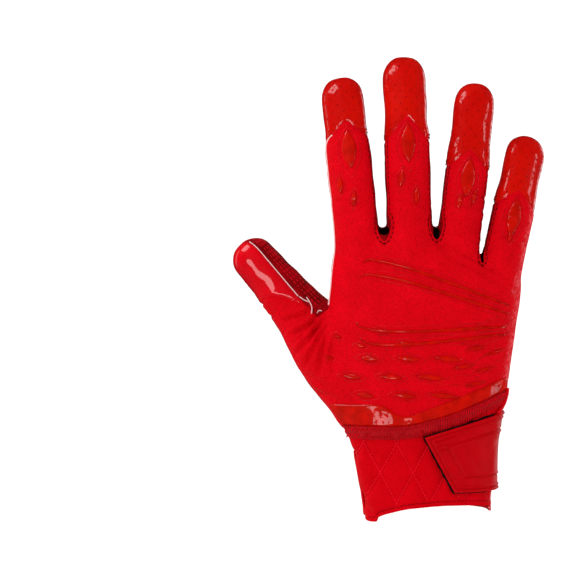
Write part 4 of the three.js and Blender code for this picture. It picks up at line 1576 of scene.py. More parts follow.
        def inside(points: Points) -> Points:
            """Which points lie between the hem's tape and the band's upper edge."""
            x, y, z = points.T
            low = pattern.hem(x) + self.hem_width / 2 + self.clear
            reach = (x > self.band_span[0]) & (x < self.band_span[1]) & (y < pattern.outer_seam - 1.5 * MM)
            return reach & (z > low) & (z < np.interp(x, top[:, 0], top[:, 1]))

        def lift(points: Points, gap: Points) -> Points:
            """A soft edge, with slow waves that break up the shine."""
            waves = self.band_wave * rolling(points, 9 * MM, 21) * np.clip(gap / self.band_edge, 0, 1)
            return (self.clear + self.thickness) * (0.2 + 0.8 * round_edge(gap, self.band_edge)) + waves

        piece = self.shop.patch("print_band_print", inside, lift, MM, 1, 0.6)
        self.shop.finish(piece, material, "print", ["print_band"])

    def build(self, material: Material, fine: Material) -> None:
        """Makes all of the print, with its contours in the finer finish."""
        self.contours(fine)
        self.pads(material)
        self.swept(material)
        self.drops(material)
        self.small(material)
        self.band(material)


@dataclass
class WristPieces:
    """What is sewn and wrapped about the wrist: hem tape, strap, hook tape, binding and pull tab."""

    shop: Workshop
    clear: float = 0.35 * MM
    hem_width: float = 6 * MM
    hem_thickness: float = MM
    strap_low: float = 0.4
    strap_width: float = 39 * MM
    strap_thickness: float = 1.5 * MM
    strap_rim: float = 0.7 * MM
    strap_rims: tuple = ((0.8, 1), (2.5, 0.8))
    strap_frame: tuple = ((7.2, 1), (8.1, -1))
    strap_root: float = 4 * MM
    strap_end: tuple = ((0.095, 0), (-0.053, 0.68), (0.37, 1), (3, 1), (3, 0))
    strap_pull: float = 1.2 * MM
    corner_foot: float = 32 * MM
    corner_slope: float = 0.31
    corner_waves: float = 2.6
    hook_thickness: float = 0.8 * MM
    hook_margin: float = 0.55 * MM
    hook_root: float = -11 * MM
    binding_width: float = 4.4 * MM
    binding_thickness: float = 1.8 * MM
    binding_span: tuple = (0.03, 0.85)
    tab_top: tuple = (-0.285, 0.92)
    tab_lean: float = 0.17
    tab_width: float = 12 * MM
    tab_length: float = 35 * MM
    tab_cloth: float = MM
    tab_loop: float = 1.2 * MM
    tab_gap: float = 0.05 * MM
    tab_stitched: float = 12.5 * MM
    patch_size: float = 9 * MM
    patch_thickness: float = 0.6 * MM
    patch_spacing: float = 11.5 * MM
    patch_inset: float = 3.8 * MM

    @property
    def strap_outline(self) -> Points:
        """The strap's free end in the XZ plane."""
        low = CUFF_LENGTH * self.strap_low
        return np.array([(across_at(a), low + up * self.strap_width) for a, up in self.strap_end])

    def edge_gap(self, points: Points, outline: Points) -> Points:
        """How far each point lies from an outline in the XZ plane."""
        best = np.full(len(points), 1.0)
        flat = points[:, [0, 2]]
        for a, b in zip(outline, np.roll(outline, -1, axis=0)):
            way = b - a
            share = np.clip((flat - a) @ way / max(way @ way, 1e-12), 0, 1)
            best = np.minimum(best, np.linalg.norm(flat - a - share[:, None] * way, axis=1))
        return best

    def ridges(self, edge: Points, rows: Sequence, width: float, power: int) -> Points:
        """Rounded ridges, or grooves where the share is negative, at those places in mm from the edge."""
        return sum(share * np.exp(-((edge - at * MM) / width) ** power) for at, share in rows)

    def hem(self, material: Material) -> None:
        """The tape over the join of back and cuff."""
        pattern = self.shop.pattern

        def inside(points: Points) -> Points:
            """Which points lie under the tape."""
            off = np.abs(points[:, 2] - pattern.hem(points[:, 0]))
            return (off < self.hem_width / 2) & (points[:, 1] < pattern.outer_seam)

        def lift(points: Points, gap: Points) -> Points:
            """Flat with soft edges."""
            return self.clear + self.hem_thickness * (0.35 + 0.65 * smooth_step(gap, 0, 0.9 * MM))

        piece = self.shop.patch("hem_tape_cloth", inside, lift, self.hem_thickness, 1, 0.5)
        self.shop.finish(piece, material, "tape", ["hem_tape"])

    def strap(self, material: Material) -> None:
        """The moulded strap, with its double rim, frame line and corner of swept lines."""
        outline = self.strap_outline
        base = self.clear + self.hook_thickness + self.clear + self.strap_thickness

        def inside(points: Points) -> Points:
            """Which points lie under the strap."""
            return within(points, outline) & (points[:, 1] < self.strap_root) & (points[:, 0] > -10 * MM)

        def lift(points: Points, gap: Points) -> Points:
            """The strap's moulded surface."""
            edge = self.edge_gap(points, outline)
            rim = self.ridges(edge, self.strap_rims, 0.5 * MM, 4)
            frame_line = self.ridges(edge, self.strap_frame, 0.4 * MM, 2)
            slant = points[:, 2] - self.corner_foot - self.corner_slope * points[:, 0]
            corner = smooth_step(-points[:, 0], -13 * MM, -8 * MM) * smooth_step(slant, 0, 3 * MM)
            framed = smooth_step(edge, 3 * MM, 3.6 * MM) * (edge < 6.6 * MM)
            lines = np.cos(slant / MM * self.corner_waves) * corner * framed
            pull = smooth_step(points[:, 2], 43 * MM, 53 * MM) * smooth_step(points[:, 0], 26 * MM, 34 * MM)
            pressed = rim - 0.6 * frame_line + 0.5 * lines
            return base - 0.2 * MM - self.strap_pull * pull + self.strap_rim * pressed

        piece = self.shop.patch("wrist_strap_mould", inside, lift, self.strap_thickness, 2, 0.15)
        self.shop.finish(piece, material, "strap", ["wrist_strap"])

    def hook(self, material: Material) -> None:
        """The black hook tape that shows along the strap's edges."""
        outline = self.strap_outline

        def inside(points: Points) -> Points:
            """Which points lie under the tape, a little past the strap's edge."""
            near = within(points, outline) | (self.edge_gap(points, outline) < self.hook_margin)
            return near & (points[:, 1] < self.hook_root)

        def lift(points: Points, gap: Points) -> Points:
            """Flat, with a rough top."""
            return self.clear + self.hook_thickness + 0.12 * MM * rolling(points, 1.2 * MM, 5)

        piece = self.shop.patch("hook_tape_pile", inside, lift, self.hook_thickness, 1, 0.4)
        self.shop.finish(piece, material, "hook", ["hook_tape"])

    def binding(self, material: Material) -> None:
        """The rolled binding on the cuff's free edge."""
        pattern = self.shop.pattern
        low, high = (CUFF_LENGTH * share for share in self.binding_span)

        def inside(points: Points) -> Points:
            """Which points lie under the binding."""
            depth = np.abs(pattern.cuff_depth(points))
            z = points[:, 2]
            return (depth < self.binding_width / 2) & (points[:, 0] < 0) & (z > low) & (z < high)

        def lift(points: Points, gap: Points) -> Points:
            """A round roll."""
            roll = round_edge(gap, self.binding_width / 2)
            return self.clear + self.binding_thickness * (0.25 + 0.75 * roll)

        piece = self.shop.patch("cuff_binding_cloth", inside, lift, self.binding_thickness, 1, 0.3)
        self.shop.finish(piece, material, "quilt", ["cuff_binding"])

    @property
    def tab_axis(self) -> Axis:
        """The line that the pull tab hangs along."""
        across, up = self.tab_top
        return Axis((across_at(across), CUFF_LENGTH * up), 180 - math.degrees(math.atan(self.tab_lean)))

    def tab(self, material: Material) -> None:
        """The folded tape: down along the wrist, round its end and up again, sewn shut at the top."""
        axis, shop = self.tab_axis, self.shop
        inner = self.clear + self.tab_cloth
        outer = inner + self.tab_cloth + self.tab_loop
        turn = (outer - inner) / 2
        path = [(along, inner) for along in np.linspace(0.6 * MM, self.tab_length - turn, 46)]
        for angle in np.linspace(0, math.pi, 9)[1:-1]:
            lift = (inner + outer) / 2 - turn * math.cos(angle)
            path.append((self.tab_length - turn + turn * math.sin(angle), lift))
        for along in np.linspace(self.tab_length - turn, 0, 46):
            open_share = float(smooth_step(along, self.tab_stitched * 0.8, self.tab_stitched * 1.5))
            lift = inner + self.tab_cloth + self.tab_gap + (self.tab_loop - self.tab_gap) * open_share
            path.append((along, lift))
        columns = 15
        bpy.ops.mesh.primitive_grid_add(x_subdivisions=columns - 1, y_subdivisions=len(path) - 1, size=2)
        piece = bpy.context.active_object
        piece.name = "pull_tab_tape"
        grid = mesh_points(piece.data)
        placed = np.empty_like(grid)
        for k, (u, v, _) in enumerate(grid):
            along, lift = path[int(round((v + 1) / 2 * (len(path) - 1)))]
            x, z = axis.point(-u * self.tab_width / 2, along)
            spot = shop.smooth.from_palm(x, z)
            placed[k] = spot + shop.smooth.way(spot) * lift
        put_points(piece.data, placed)
        pick(piece)
        edit_all(lambda: bpy.ops.mesh.normals_make_consistent(inside=False))
        shop.thicken(piece, self.tab_cloth * 0.95, 0)
        shop.finish(piece, material, "tape", ["pull_tab"])

    def patches(self, material: Material) -> None:
        """The two plain patches on the pull tab."""
        axis = self.tab_axis
        base = self.clear + 2 * self.tab_cloth + self.tab_loop
        for index, name in enumerate(("upper", "lower")):
            start = self.patch_inset + index * self.patch_spacing
            half = self.patch_size / 2

            def inside(points: Points) -> Points:
                """Which points lie under this patch."""
                across, along = axis.local(points)
                off = np.maximum(np.abs(across), np.abs(along - start - half))
                beside = np.maximum(np.abs(across) - half + MM, 0)
                beyond = np.maximum(np.abs(along - start - half) - half + MM, 0)
                corner = np.hypot(beside, beyond)
                return (off < half) & (corner < MM) & (points[:, 1] > 0)

            def lift(points: Points, gap: Points) -> Points:
                """Flat with a soft edge."""
                return base + self.clear + self.patch_thickness * (0.5 + 0.5 * smooth_step(gap, 0, 0.8 * MM))

            piece = self.shop.patch(f"tab_patch_{name}_plate", inside, lift, self.patch_thickness, 1, 0)
            self.shop.finish(piece, material, "patch", [f"tab_patch_{name}"])


@dataclass
class Trim:
    """The stitches, piping and raw edges along the seams."""

    shop: Workshop
    seams: list[SeamLine]
    gusset_turns: tuple = (38, 47, 57)
    web_edges: tuple = (
        ((-65.8, 111.2), (-64.4, 110.1), (-62.7, 109.1), (-61.0, 108.5)),
        ((-62.2, 110.8), (-60.7, 108.5), (-59.4, 105.7), (-59.8, 101.8)),
        ((-56.9, 102.9), (-56.1, 104.2), (-54.6, 104.0)),
    )
    index_edge: tuple = (-38 * MM, 106 * MM, 193 * MM)
    rim_span: tuple = (-44, 40)
    hem_span: tuple = (-42, 37)
    loop: tuple = ((35.5, -5, 66), (37.2, -5, 62.5), (37, -6, 59), (35, -9, 55.5), (32.5, -11, 53.5))

    def between(self, one: Panel, other: Panel, shortest: float = 8 * MM) -> list[Points]:
        """The runs of the seam between two pieces, as evenly spaced points."""
        pair = frozenset((int(one), int(other)))
        runs = [seam for seam in self.seams if seam.pieces == pair and seam.length > shortest]
        return [self.shop.even(seam.points, 1.4 * MM) for seam in runs]

    def rows(self, one: Panel, other: Panel, into: Panel, *distances: float) -> list[Points]:
        """Rows that run beside a seam, in one of its two pieces."""
        lines = []
        for line in self.between(one, other):
            if len(line) > 4:
                lines += [self.shop.even(self.shop.beside(line, into, d * MM), 1.2 * MM) for d in distances]
        return lines

    def wall_stitches(self, dark: Material) -> None:
        """Two rows beside each strip between the fingers, on the back and on the palm."""
        back, palm = [], []
        for wall in WALLS:
            back += self.rows(Panel.BACK, wall, Panel.BACK, 1.5)
            palm += self.rows(Panel.PALM, wall, Panel.PALM, 1.4, 2.9)
        self.sew("wall_stitches_back", back, dark, "cloth")
        self.sew("wall_stitches_palm", palm, dark, "patent")

    def tip_ridges(self, material: Material) -> None:
        """The fine ridge beside each pointed edge, in the cloth of the back."""
        rows = self.rows(Panel.BACK, Panel.PALM, Panel.BACK, 1.2)
        piece = self.shop.cords("tip_ridges", rows, 0.36 * MM, 0.05 * MM)
        self.shop.finish(piece, material, "cloth")

    def wall_rolls(self, material: Material) -> None:
        """The rolled edge of the strips between the fingers, beside their stitches."""
        lines = [line for wall in WALLS for line in self.between(Panel.BACK, wall)]
        piece = self.shop.cords("wall_rolls", lines, 0.5 * MM, 0.2 * MM)
        self.shop.finish(piece, material, "cloth")

    def thenar(self, thread: Material, raw: Material) -> None:
        """The round seam in the palm: a pale raw edge and two rows of stitches."""
        rows = self.rows(Panel.THUMB, Panel.PALM, Panel.PALM, 1.6, 3.4)
        self.sew("thenar_stitches", rows, thread, "patent")
        runs = self.between(Panel.THUMB, Panel.PALM)
        piece = self.shop.cords("thenar_raw_edge", runs, 0.26 * MM, 0.2 * MM)
        self.shop.finish(piece, raw, "patent")

    def gusset(self, bright: Material, piping: Material) -> None:
        """The rows of bright stitches in the thumb's strip, and the pale piping along the cap."""
        rows = [self.thumb_line(turn, 0.57, 0.97) for turn in self.gusset_turns]
        sizes = {"length": 1.7 * MM, "gap": 0.8 * MM, "thick": 0.36 * MM, "lift": 0.1 * MM}
        self.sew("gusset_stitches", rows, bright, "mesh", **sizes)
        lines = [self.thumb_line(self.shop.pattern.thumb_turns[1], 0.655, 0.985)]
        smooth = self.shop.smooth
        for fold in self.web_edges:
            lines.append(smooth.on_back(faired(fold, 4) * MM))
        piece = self.shop.cords("cap_piping", lines, 0.27 * MM, 0.3 * MM, 6, smooth)
        self.shop.finish(piece, piping, "print")

    def thumb_line(self, turn: float, start: float, end: float) -> Points:
        """A line up the thumb's skin.

        Args:
            turn: how far round the thumb it runs, in degrees.
            start: where it starts, as a share of the thumb's length.
            end: where it ends.

        Returns:
            Its points, evenly spaced.
        """
        bow, forward = self.shop.pattern.thumb_middle
        angle = math.radians(turn)
        way = Vector(THUMB_AXIS.across) * math.sin(angle) - Vector((0, math.cos(angle), 0))
        spots = []
        for along in np.arange(start, end, 0.012) * THUMB_LENGTH:
            x, z = THUMB_AXIS.point(bow * THUMB_WIDTH, along)
            hit = self.shop.smooth.tree.ray_cast(Vector((x, forward * HAND_DEPTH, z)), way)[0]
            if hit is not None:
                spots.append(hit[:])
        return self.shop.even(np.array(spots), 1.2 * MM, 12)

    def radial_piping(self, piping: Material) -> None:
        """The pale edge that shows up the index finger's outer side."""
        lines = []
        right, low, high = self.index_edge
        for line in self.between(Panel.BACK, Panel.PALM, 40 * MM):
            part = line[(line[:, 0] < right) & (line[:, 2] > low) & (line[:, 2] < high)]
            if len(part) > 10:
                part = part[np.argsort(part[:, 2])] + np.array([0.3, -1.1, 0]) * MM
                lines.append(self.shop.even(part, 1.5 * MM, 8))
        if lines:
            piece = self.shop.cords("index_piping", lines, 0.46 * MM, 0.2 * MM)
            self.shop.finish(piece, piping, "cloth")

    def cuff(self, thread: Material, light: Material) -> None:
        """The quilting lines, the line above the rim and the zigzag rows on the hem tape."""
        pattern, skin, relief = self.shop.pattern, self.shop.smooth, self.shop.relief
        across = np.arange(*self.rim_span, 1.2) * MM
        rim = skin.on_back(zip(across, pattern.rim(across) + relief.rim_line))
        rim = rim[(rim[:, 1] < 0) & (pattern.panels(rim) == Panel.CUFF)]
        self.sew("rim_stitches", [rim], thread, "quilt", length=1.7 * MM, gap=0.3 * MM, thick=0.35 * MM)
        quilting = []
        for lean, foot in relief.quilt_ways:
            for step in range(-8, 9):
                heights = np.arange(2, 64, 1.1) * MM
                xs = across_at(foot) + lean * heights + step * relief.quilt_pitch
                line = skin.on_back((x, z) for x, z in zip(xs, heights) if abs(x) < 45 * MM)
                if len(line) < 5:
                    continue
                above_rim = line[:, 2] > pattern.rim(line[:, 0]) + 3 * MM
                line = line[(pattern.panels(line) == Panel.CUFF) & above_rim]
                if len(line) > 5:
                    quilting.append(line)
        sizes = {"length": 1.7 * MM, "gap": 0.1 * MM, "thick": 0.7 * MM, "lift": -0.6 * MM}
        self.sew("quilt_stitches", quilting, light, "quilt", skin=skin, **sizes)
        zigzags = []
        for off in (-1.5, 1.5):
            xs = np.arange(*self.hem_span, 0.6) * MM
            zs = pattern.hem(xs) + (off + 1.3 * (-1.0) ** np.arange(len(xs))) * MM
            line = skin.on_back(zip(xs, zs))
            zigzags.append(line[line[:, 1] < pattern.outer_seam])
        piece = self.shop.cords("hem_zigzag", zigzags, 0.24 * MM, 1.5 * MM, 5, soften=0)
        self.shop.finish(piece, light, "tape")

    def side_loop(self, material: Material) -> None:
        """The small fold of cloth that comes out under the hem at the little finger's side."""
        line = faired(self.loop, 4) * MM
        piece = self.shop.cords("side_loop", [line], 1.1 * MM, 1.2 * MM, 10, self.shop.smooth)
        self.shop.finish(piece, material, "cloth")

    def sew(
        self, name: str, rows: list[Points], material: Material, slot: str, **sizes: object
    ) -> None:
        """Sews rows as one finished piece, if there are any."""
        rows = [row for row in rows if len(row) > 3]
        if rows:
            self.shop.finish(self.shop.stitches(name, rows, **sizes), material, slot)

    def build(self, finishes: dict) -> None:
        """Makes all of the trim."""
        self.wall_stitches(finishes["dark"])
        self.tip_ridges(finishes["cloth"])
        self.wall_rolls(finishes["cloth"])
        self.thenar(finishes["bright"], finishes["pale"])
        self.gusset(finishes["bright"], finishes["pale"])
        self.radial_piping(finishes["pale"])
        self.cuff(finishes["ruby"], finishes["bright"])
        self.side_loop(finishes["cloth"])


@dataclass(frozen=True)
class Sock:
    """One value in a material's tree; arithmetic on it adds the nodes that work it out."""

    shader: "Shader"
    socket: bpy.types.NodeSocket

    def math(self, operation: str, *values: object) -> "Sock":
        """The outcome of a Math node with this value first."""
        return self.shader.node("ShaderNodeMath", {"operation": operation}, dict(enumerate((self, *values))))

    def turned(self, operation: str, first: object) -> "Sock":
        """The outcome of a Math node with this value second."""
        return self.shader.node("ShaderNodeMath", {"operation": operation}, {0: first, 1: self})

    def vector(self, operation: str, *values: object) -> "Sock":
        """The outcome of a Vector Math node with this value first."""
        output = 1 if operation in ("LENGTH", "DOT_PRODUCT") else 0
        inputs = dict(enumerate((self, *values)))
        return self.shader.node("ShaderNodeVectorMath", {"operation": operation}, inputs, output)

    def __add__(self, other: object) -> "Sock":
        """This plus another."""
        return self.math("ADD", other)

    def __radd__(self, other: object) -> "Sock":
        """Another plus this."""
        return self.math("ADD", other)

    def __sub__(self, other: object) -> "Sock":
        """This less another."""
        return self.math("SUBTRACT", other)

    def __rsub__(self, other: object) -> "Sock":
        """Another less this."""
        return self.turned("SUBTRACT", other)

    def __mul__(self, other: object) -> "Sock":
        """This times another."""
        return self.math("MULTIPLY", other)

    def __rmul__(self, other: object) -> "Sock":
        """Another times this."""
        return self.math("MULTIPLY", other)

    def fade(self, low: float, high: float) -> "Sock":
        """A smooth rise from 0 at low to 1 at high, or a fall where low is the larger."""
        if low > high:
            return 1 - self.fade(high, low)
        inputs = {"Value": self, "From Min": low, "From Max": high}
        return self.shader.node("ShaderNodeMapRange", {"interpolation_type": "SMOOTHSTEP"}, inputs)


@dataclass
class Shader:
    """Builds one material's tree of nodes."""

    name: str

    def __post_init__(self) -> None:
        """Starts with an empty tree."""
        self.material = bpy.data.materials.new(self.name)
        self.material.use_nodes = True
        self.tree = self.material.node_tree
        self.tree.nodes.clear()

    def node(
        self, kind: str, settings: dict | None = None, inputs: dict | None = None, output: object = 0
    ) -> Sock:
        """Adds any node.

        Args:
            kind: its type.
            settings: its properties, which are set first.
            inputs: values or links, by the name or number of the socket.
            output: the name or number of the socket that is handed on.

        Returns:
            That socket.
        """
        made = self.tree.nodes.new(kind)
        for key, value in (settings or {}).items():
            setattr(made, key, value)
        for key, value in (inputs or {}).items():
            if isinstance(value, Sock):
                self.tree.links.new(value.socket, made.inputs[key])
            else:
                made.inputs[key].default_value = value
        return Sock(self, made.outputs[output])

    def place(self) -> Sock:
        """The point's place on the piece, in metres."""
        return self.node("ShaderNodeTexCoord", output="Object")

    def attribute(self, name: str, output: str = "Vector") -> Sock:
        """A value kept at the mesh's points."""
        return self.node("ShaderNodeAttribute", {"attribute_name": name}, output=output)

    def spread(self, size: float, stretch: Sequence[float]) -> Sock:
        """The point's place in parts of a size, which is longer along X, Y and Z by the stretch."""
        return self.place().vector("MULTIPLY", tuple(1 / (size * s) for s in stretch))

    def noise(self, size: float, detail: float = 2, stretch: Sequence[float] = (1, 1, 1)) -> Sock:
        """Noise from 0 to 1.

        Args:
            size: how large one blot is, in metres.
            detail: how many finer layers it has.
            stretch: how much longer it is along X, Y and Z.

        Returns:
            The noise.
        """
        inputs = {"Vector": self.spread(size, stretch), "Scale": 1.0, "Detail": detail}
        return self.node("ShaderNodeTexNoise", None, inputs)

    def cells(self, size: float, feature: str = "F1", stretch: Sequence[float] = (1, 1, 1)) -> Sock:
        """The distance to the nearest of many scattered spots, in parts of their size."""
        inputs = {"Vector": self.spread(size, stretch), "Scale": 1.0}
        return self.node("ShaderNodeTexVoronoi", {"feature": feature}, inputs, "Distance")

    def mix(self, factor: Sock, first: object, second: object) -> Sock:
        """A colour between two, by a factor."""
        return self.node("ShaderNodeMix", {"data_type": "RGBA"}, {0: factor, 6: first, 7: second}, 2)

    def bump(self, height: Sock, distance: float, under: Sock | None = None) -> Sock:
        """Turns a height into a bumped normal.

        Args:
            height: the height, from about 0 to 1.
            distance: how far 1 stands out, in metres.
            under: the bumps below, if there are any.

        Returns:
            The normal.
        """
        inputs = {"Height": height, "Distance": distance, "Strength": 1.0}
        if under is not None:
            inputs["Normal"] = under
        return self.node("ShaderNodeBump", None, inputs)

    def surface(self, **inputs: object) -> Material:
        """Ends the tree in a surface with those inputs, where _ stands for a space.

        Args:
            inputs: values or links for the Principled BSDF.

        Returns:
            The material.
        """
        named = {key.replace("_", " "): value for key, value in inputs.items()}
        shade = self.node("ShaderNodeBsdfPrincipled", None, named)
        out = self.tree.nodes.new("ShaderNodeOutputMaterial")
        self.tree.links.new(shade.socket, out.inputs["Surface"])
        return self.material


def rgba(colour: Sequence[float], share: float = 1.0) -> tuple[float, float, float, float]:
    """A colour with its alpha, darker where the share is under 1."""
    return (*(part * share for part in colour), 1.0)


@dataclass(frozen=True)
class PatentLeather:
    """The glossy, tacky, perforated leather of the palm, with painted shade in its perforations."""

    name: str = "patent_leather"
    colour: tuple = (0.64, 0.0, 0.006)
    shade: tuple = (0.48, 0.0, 0.004)
    tip_colour: tuple = (0.56, 0.003, 0.0)
    tip_shade: tuple = (0.47, 0.001, 0.0)
    # Painted shade inside the perforations, which the mesh doesn't cut.
    hole: tuple = (0.16, 0.0, 0.001)
    hole_radius: float = 0.38
    palm_pitch: tuple = (10.4, 10.4)
    tip_pitch: tuple = (5.4, 6.4)

    def holes(self, shader: Shader, at: Sock, pitch: tuple) -> Sock:
        """The distance in mm to the nearest perforation of a staggered lattice."""
        half = (pitch[0] / 2, pitch[1] / 2, 1)
        low = (-half[0], -half[1], 0)
        one = at.vector("WRAP", half, low).vector("LENGTH")
        two = at.vector("ADD", (half[0], half[1], 0)).vector("WRAP", half, low).vector("LENGTH")
        return one.math("MINIMUM", two)

    def build(self) -> Material:
        """Makes the material."""
        shader = Shader(self.name)
        lattice = shader.attribute("lattice")
        flat = lattice.vector("MULTIPLY", (1, 1, 0))
        tip = shader.node("ShaderNodeSeparateXYZ", None, {0: lattice}, 2).fade(0.4, 0.6)
        palm, tips = self.holes(shader, flat, self.palm_pitch), self.holes(shader, flat, self.tip_pitch)
        gap = palm * (1 - tip) + tips * tip
        hole = gap.fade(self.hole_radius * 1.25, self.hole_radius * 0.7)
        broad = shader.noise(0.028, 2)
        patches = broad.fade(0.35, 0.7)
        colour = shader.mix(patches, rgba(self.shade), rgba(self.colour))
        colour = shader.mix(tip, colour, shader.mix(patches, rgba(self.tip_shade), rgba(self.tip_colour)))
        # Painted shade: the perforations are coloured dark for the shade inside the holes.
        colour = shader.mix(hole * (1 - tip * 0.6), colour, rgba(self.hole))
        grain = shader.noise(0.0019, 3)
        wrinkle = shader.noise(0.0075, 3, (1, 1, 1.6))
        normal = shader.bump(wrinkle, 0.5 * MM)
        normal = shader.bump(grain, 0.3 * MM, normal)
        normal = shader.bump(1 - hole, 0.22 * MM, normal)
        worn = shader.noise(0.0016, 3).fade(0.5, 0.56)
        return shader.surface(
            Base_Color=colour,
            Roughness=0.3 + grain * 0.12 + hole * 0.4,
            Normal=normal,
            Specular_IOR_Level=0.05,
            Coat_Weight=(0.95 - hole * 0.8) * (1 - tip * worn),
            Coat_Roughness=0.035,
        )


@dataclass(frozen=True)
class Cloth:
    """A knitted or brushed cloth with a pebbled face, painted shade between its pebbles and, if asked for, a
    painted sheen of pale streaks on the little finger's side.
    """

    name: str
    colour: tuple
    shade: tuple
    pebble: float = 0.75 * MM
    relief: float = 0.22 * MM
    rough: float = 0.7
    gloss: float = 0.06
    # How strong the painted sheen is: pale pink streaks on the little finger's side where the cloth faces +X.
    rubbed: float = 0.0

    def build(self) -> Material:
        """Makes the material."""
        shader = Shader(self.name)
        pebbles = shader.cells(self.pebble, "SMOOTH_F1")
        fuzz = shader.noise(0.00035, 2)
        broad = shader.noise(0.012, 3)
        patchy = broad.fade(0.3, 0.75) * 0.6 + fuzz * 0.4
        colour = shader.mix(patchy, rgba(self.shade), rgba(self.colour))
        # Painted shade: darker between the pebbles, where the bump's hollows lie.
        colour = shader.mix(pebbles.fade(0.35, 0.8) * 0.35, colour, rgba(self.shade, 0.6))
        # Painted sheen: pale pink streaks on the little finger's side, only where the surface faces +X,
        # standing in for the highlight of the cloth's fuzz.
        if self.rubbed:
            outer = shader.node("ShaderNodeSeparateXYZ", None, {0: shader.place()}, 0).fade(26 * MM, 34 * MM)
            facing = shader.node("ShaderNodeTexCoord", None, None, "Normal")
            turned = shader.node("ShaderNodeSeparateXYZ", None, {0: facing}, 0).fade(0.6, 0.92)
            sheen_streaks = shader.noise(0.0008, 2, (0.4, 1, 2.2)).fade(0.5, 0.64)
            colour = shader.mix(outer * turned * sheen_streaks * self.rubbed, colour, (0.9, 0.16, 0.19, 1.0))
        normal = shader.bump(1 - pebbles, self.relief)
        normal = shader.bump(fuzz, 0.06 * MM, normal)
        return shader.surface(
            Base_Color=colour,
            Roughness=self.rough - broad * 0.1,
            Normal=normal,
            Specular_IOR_Level=self.gloss,
        )


@dataclass(frozen=True)
class WallCloth(Cloth):
    """The strips between the fingers: ribbed cloth with painted shade between its ribs, and painted shade that
    goes black in the hollow where two fingers part.
    """

    def build(self) -> Material:
        """Makes the material."""
        shader = Shader(self.name)
        deep = shader.attribute("deep", "Fac")
        ribs = shader.cells(self.pebble, "SMOOTH_F1", (0.6, 0.6, 2.2))
        broad = shader.noise(0.006, 3)
        colour = shader.mix(broad.fade(0.3, 0.7), rgba(self.shade), rgba(self.colour))
        # Painted shade: darker in the hollows between the ribs, where their bump is low.
        colour = shader.mix(ribs.fade(0.3, 0.8) * 0.5, colour, rgba(self.shade, 0.4))
        # Painted shade: near black deep in the hollow where two fingers part.
        colour = shader.mix(deep.fade(0.12, 0.5), colour, (0.002, 0.0, 0.0, 1.0))
        normal = shader.bump(1 - ribs, self.relief)
        rough = self.rough + broad * 0.1
        gloss = self.gloss
        return shader.surface(Base_Color=colour, Roughness=rough, Normal=normal, Specular_IOR_Level=gloss)


@dataclass(frozen=True)
class Rubber:
    """Moulded or printed rubber, from satin to wet-looking."""

    name: str
    colour: tuple
    rough: float
    coat: float
    wave: float = 0.12 * MM
    grain: float = 0.03 * MM
    gloss: float = 0.3
    blotch: float = 0.72
    ragged: float = 0.0

    def build(self) -> Material:
        """Makes the material."""
        shader = Shader(self.name)
        broad, fine = shader.noise(0.005, 3), shader.noise(0.0007, 2)
        colour = shader.mix(broad.fade(0.3, 0.7), rgba(self.colour, self.blotch), rgba(self.colour))
        normal = shader.bump(broad, self.wave)
        coat = self.coat
        if self.ragged:
            patchy = shader.noise(0.0017, 3)
            normal = shader.bump(patchy, self.ragged, normal)
            coat = coat * (1 - patchy.fade(0.52, 0.58))
        normal = shader.bump(fine, self.grain, normal)
        return shader.surface(
            Base_Color=colour,
            Roughness=self.rough + fine * 0.12,
            Normal=normal,
            Specular_IOR_Level=self.gloss,
            Coat_Weight=coat,
            Coat_Roughness=0.05,
        )


@dataclass(frozen=True)
class Tape:
    """Woven tape: fine ribs one way and finer threads the other, with painted shade in the hollows of the
    weave.
    """

    name: str
    colour: tuple
    shade: tuple
    rib: float = 0.9 * MM
    lean: float = 0.0

    def build(self) -> Material:
        """Makes the material."""
        shader = Shader(self.name)
        inputs = {"Vector": shader.place(), "Angle": self.lean}
        turned = shader.node("ShaderNodeVectorRotate", {"rotation_type": "Y_AXIS"}, inputs)
        ribs = self.wave(shader, turned, "X", self.rib)
        threads = self.wave(shader, turned, "Z", self.rib * 0.55)
        weave = ribs * 0.6 + threads * 0.4
        worn = shader.noise(0.004, 3)
        # Painted shade: darker in the weave's hollows, where its bump is low, mixed with random wear.
        colour = shader.mix((weave * 0.7 + worn * 0.3).fade(0.15, 0.85), rgba(self.shade), rgba(self.colour))
        normal = shader.bump(weave, 0.16 * MM)
        normal = shader.bump(shader.noise(0.0004, 2), 0.05 * MM, normal)
        rough = 0.75 - worn * 0.15
        return shader.surface(Base_Color=colour, Roughness=rough, Normal=normal, Specular_IOR_Level=0.12)

    def wave(self, shader: Shader, at: Sock, along: str, size: float) -> Sock:
        """Even ribs across one direction, from 0 to 1."""
        settings = {"wave_type": "BANDS", "bands_direction": along}
        inputs = {"Vector": at, "Scale": 0.314 / size, "Distortion": 0.4, "Detail": 1.0}
        return shader.node("ShaderNodeTexWave", settings, inputs, "Fac")


@dataclass(frozen=True)
class Thread:
    """Sewing thread, piping or a raw edge."""

    name: str
    colour: tuple
    rough: float = 0.55

    def build(self) -> Material:
        """Makes the material."""
        shader = Shader(self.name)
        fuzz = shader.noise(0.0003, 2)
        colour = shader.mix(fuzz.fade(0.25, 0.7), rgba(self.colour, 0.6), rgba(self.colour))
        normal = shader.bump(fuzz, 0.08 * MM)
        rough = self.rough + fuzz * 0.1
        return shader.surface(Base_Color=colour, Roughness=rough, Normal=normal, Specular_IOR_Level=0.06)


@dataclass(frozen=True)
class StudioPaint:
    """The matt paint of floor and backdrop."""

    name: str = "studio_paint"
    colour: tuple = (0.86, 0.86, 0.86)

    def build(self) -> Material:
        """Makes the material."""
        shader = Shader(self.name)
        tone = shader.noise(0.15, 2)
        colour = shader.mix(tone, rgba(self.colour, 0.985), rgba(self.colour))
        return shader.surface(Base_Color=colour, Roughness=0.9)


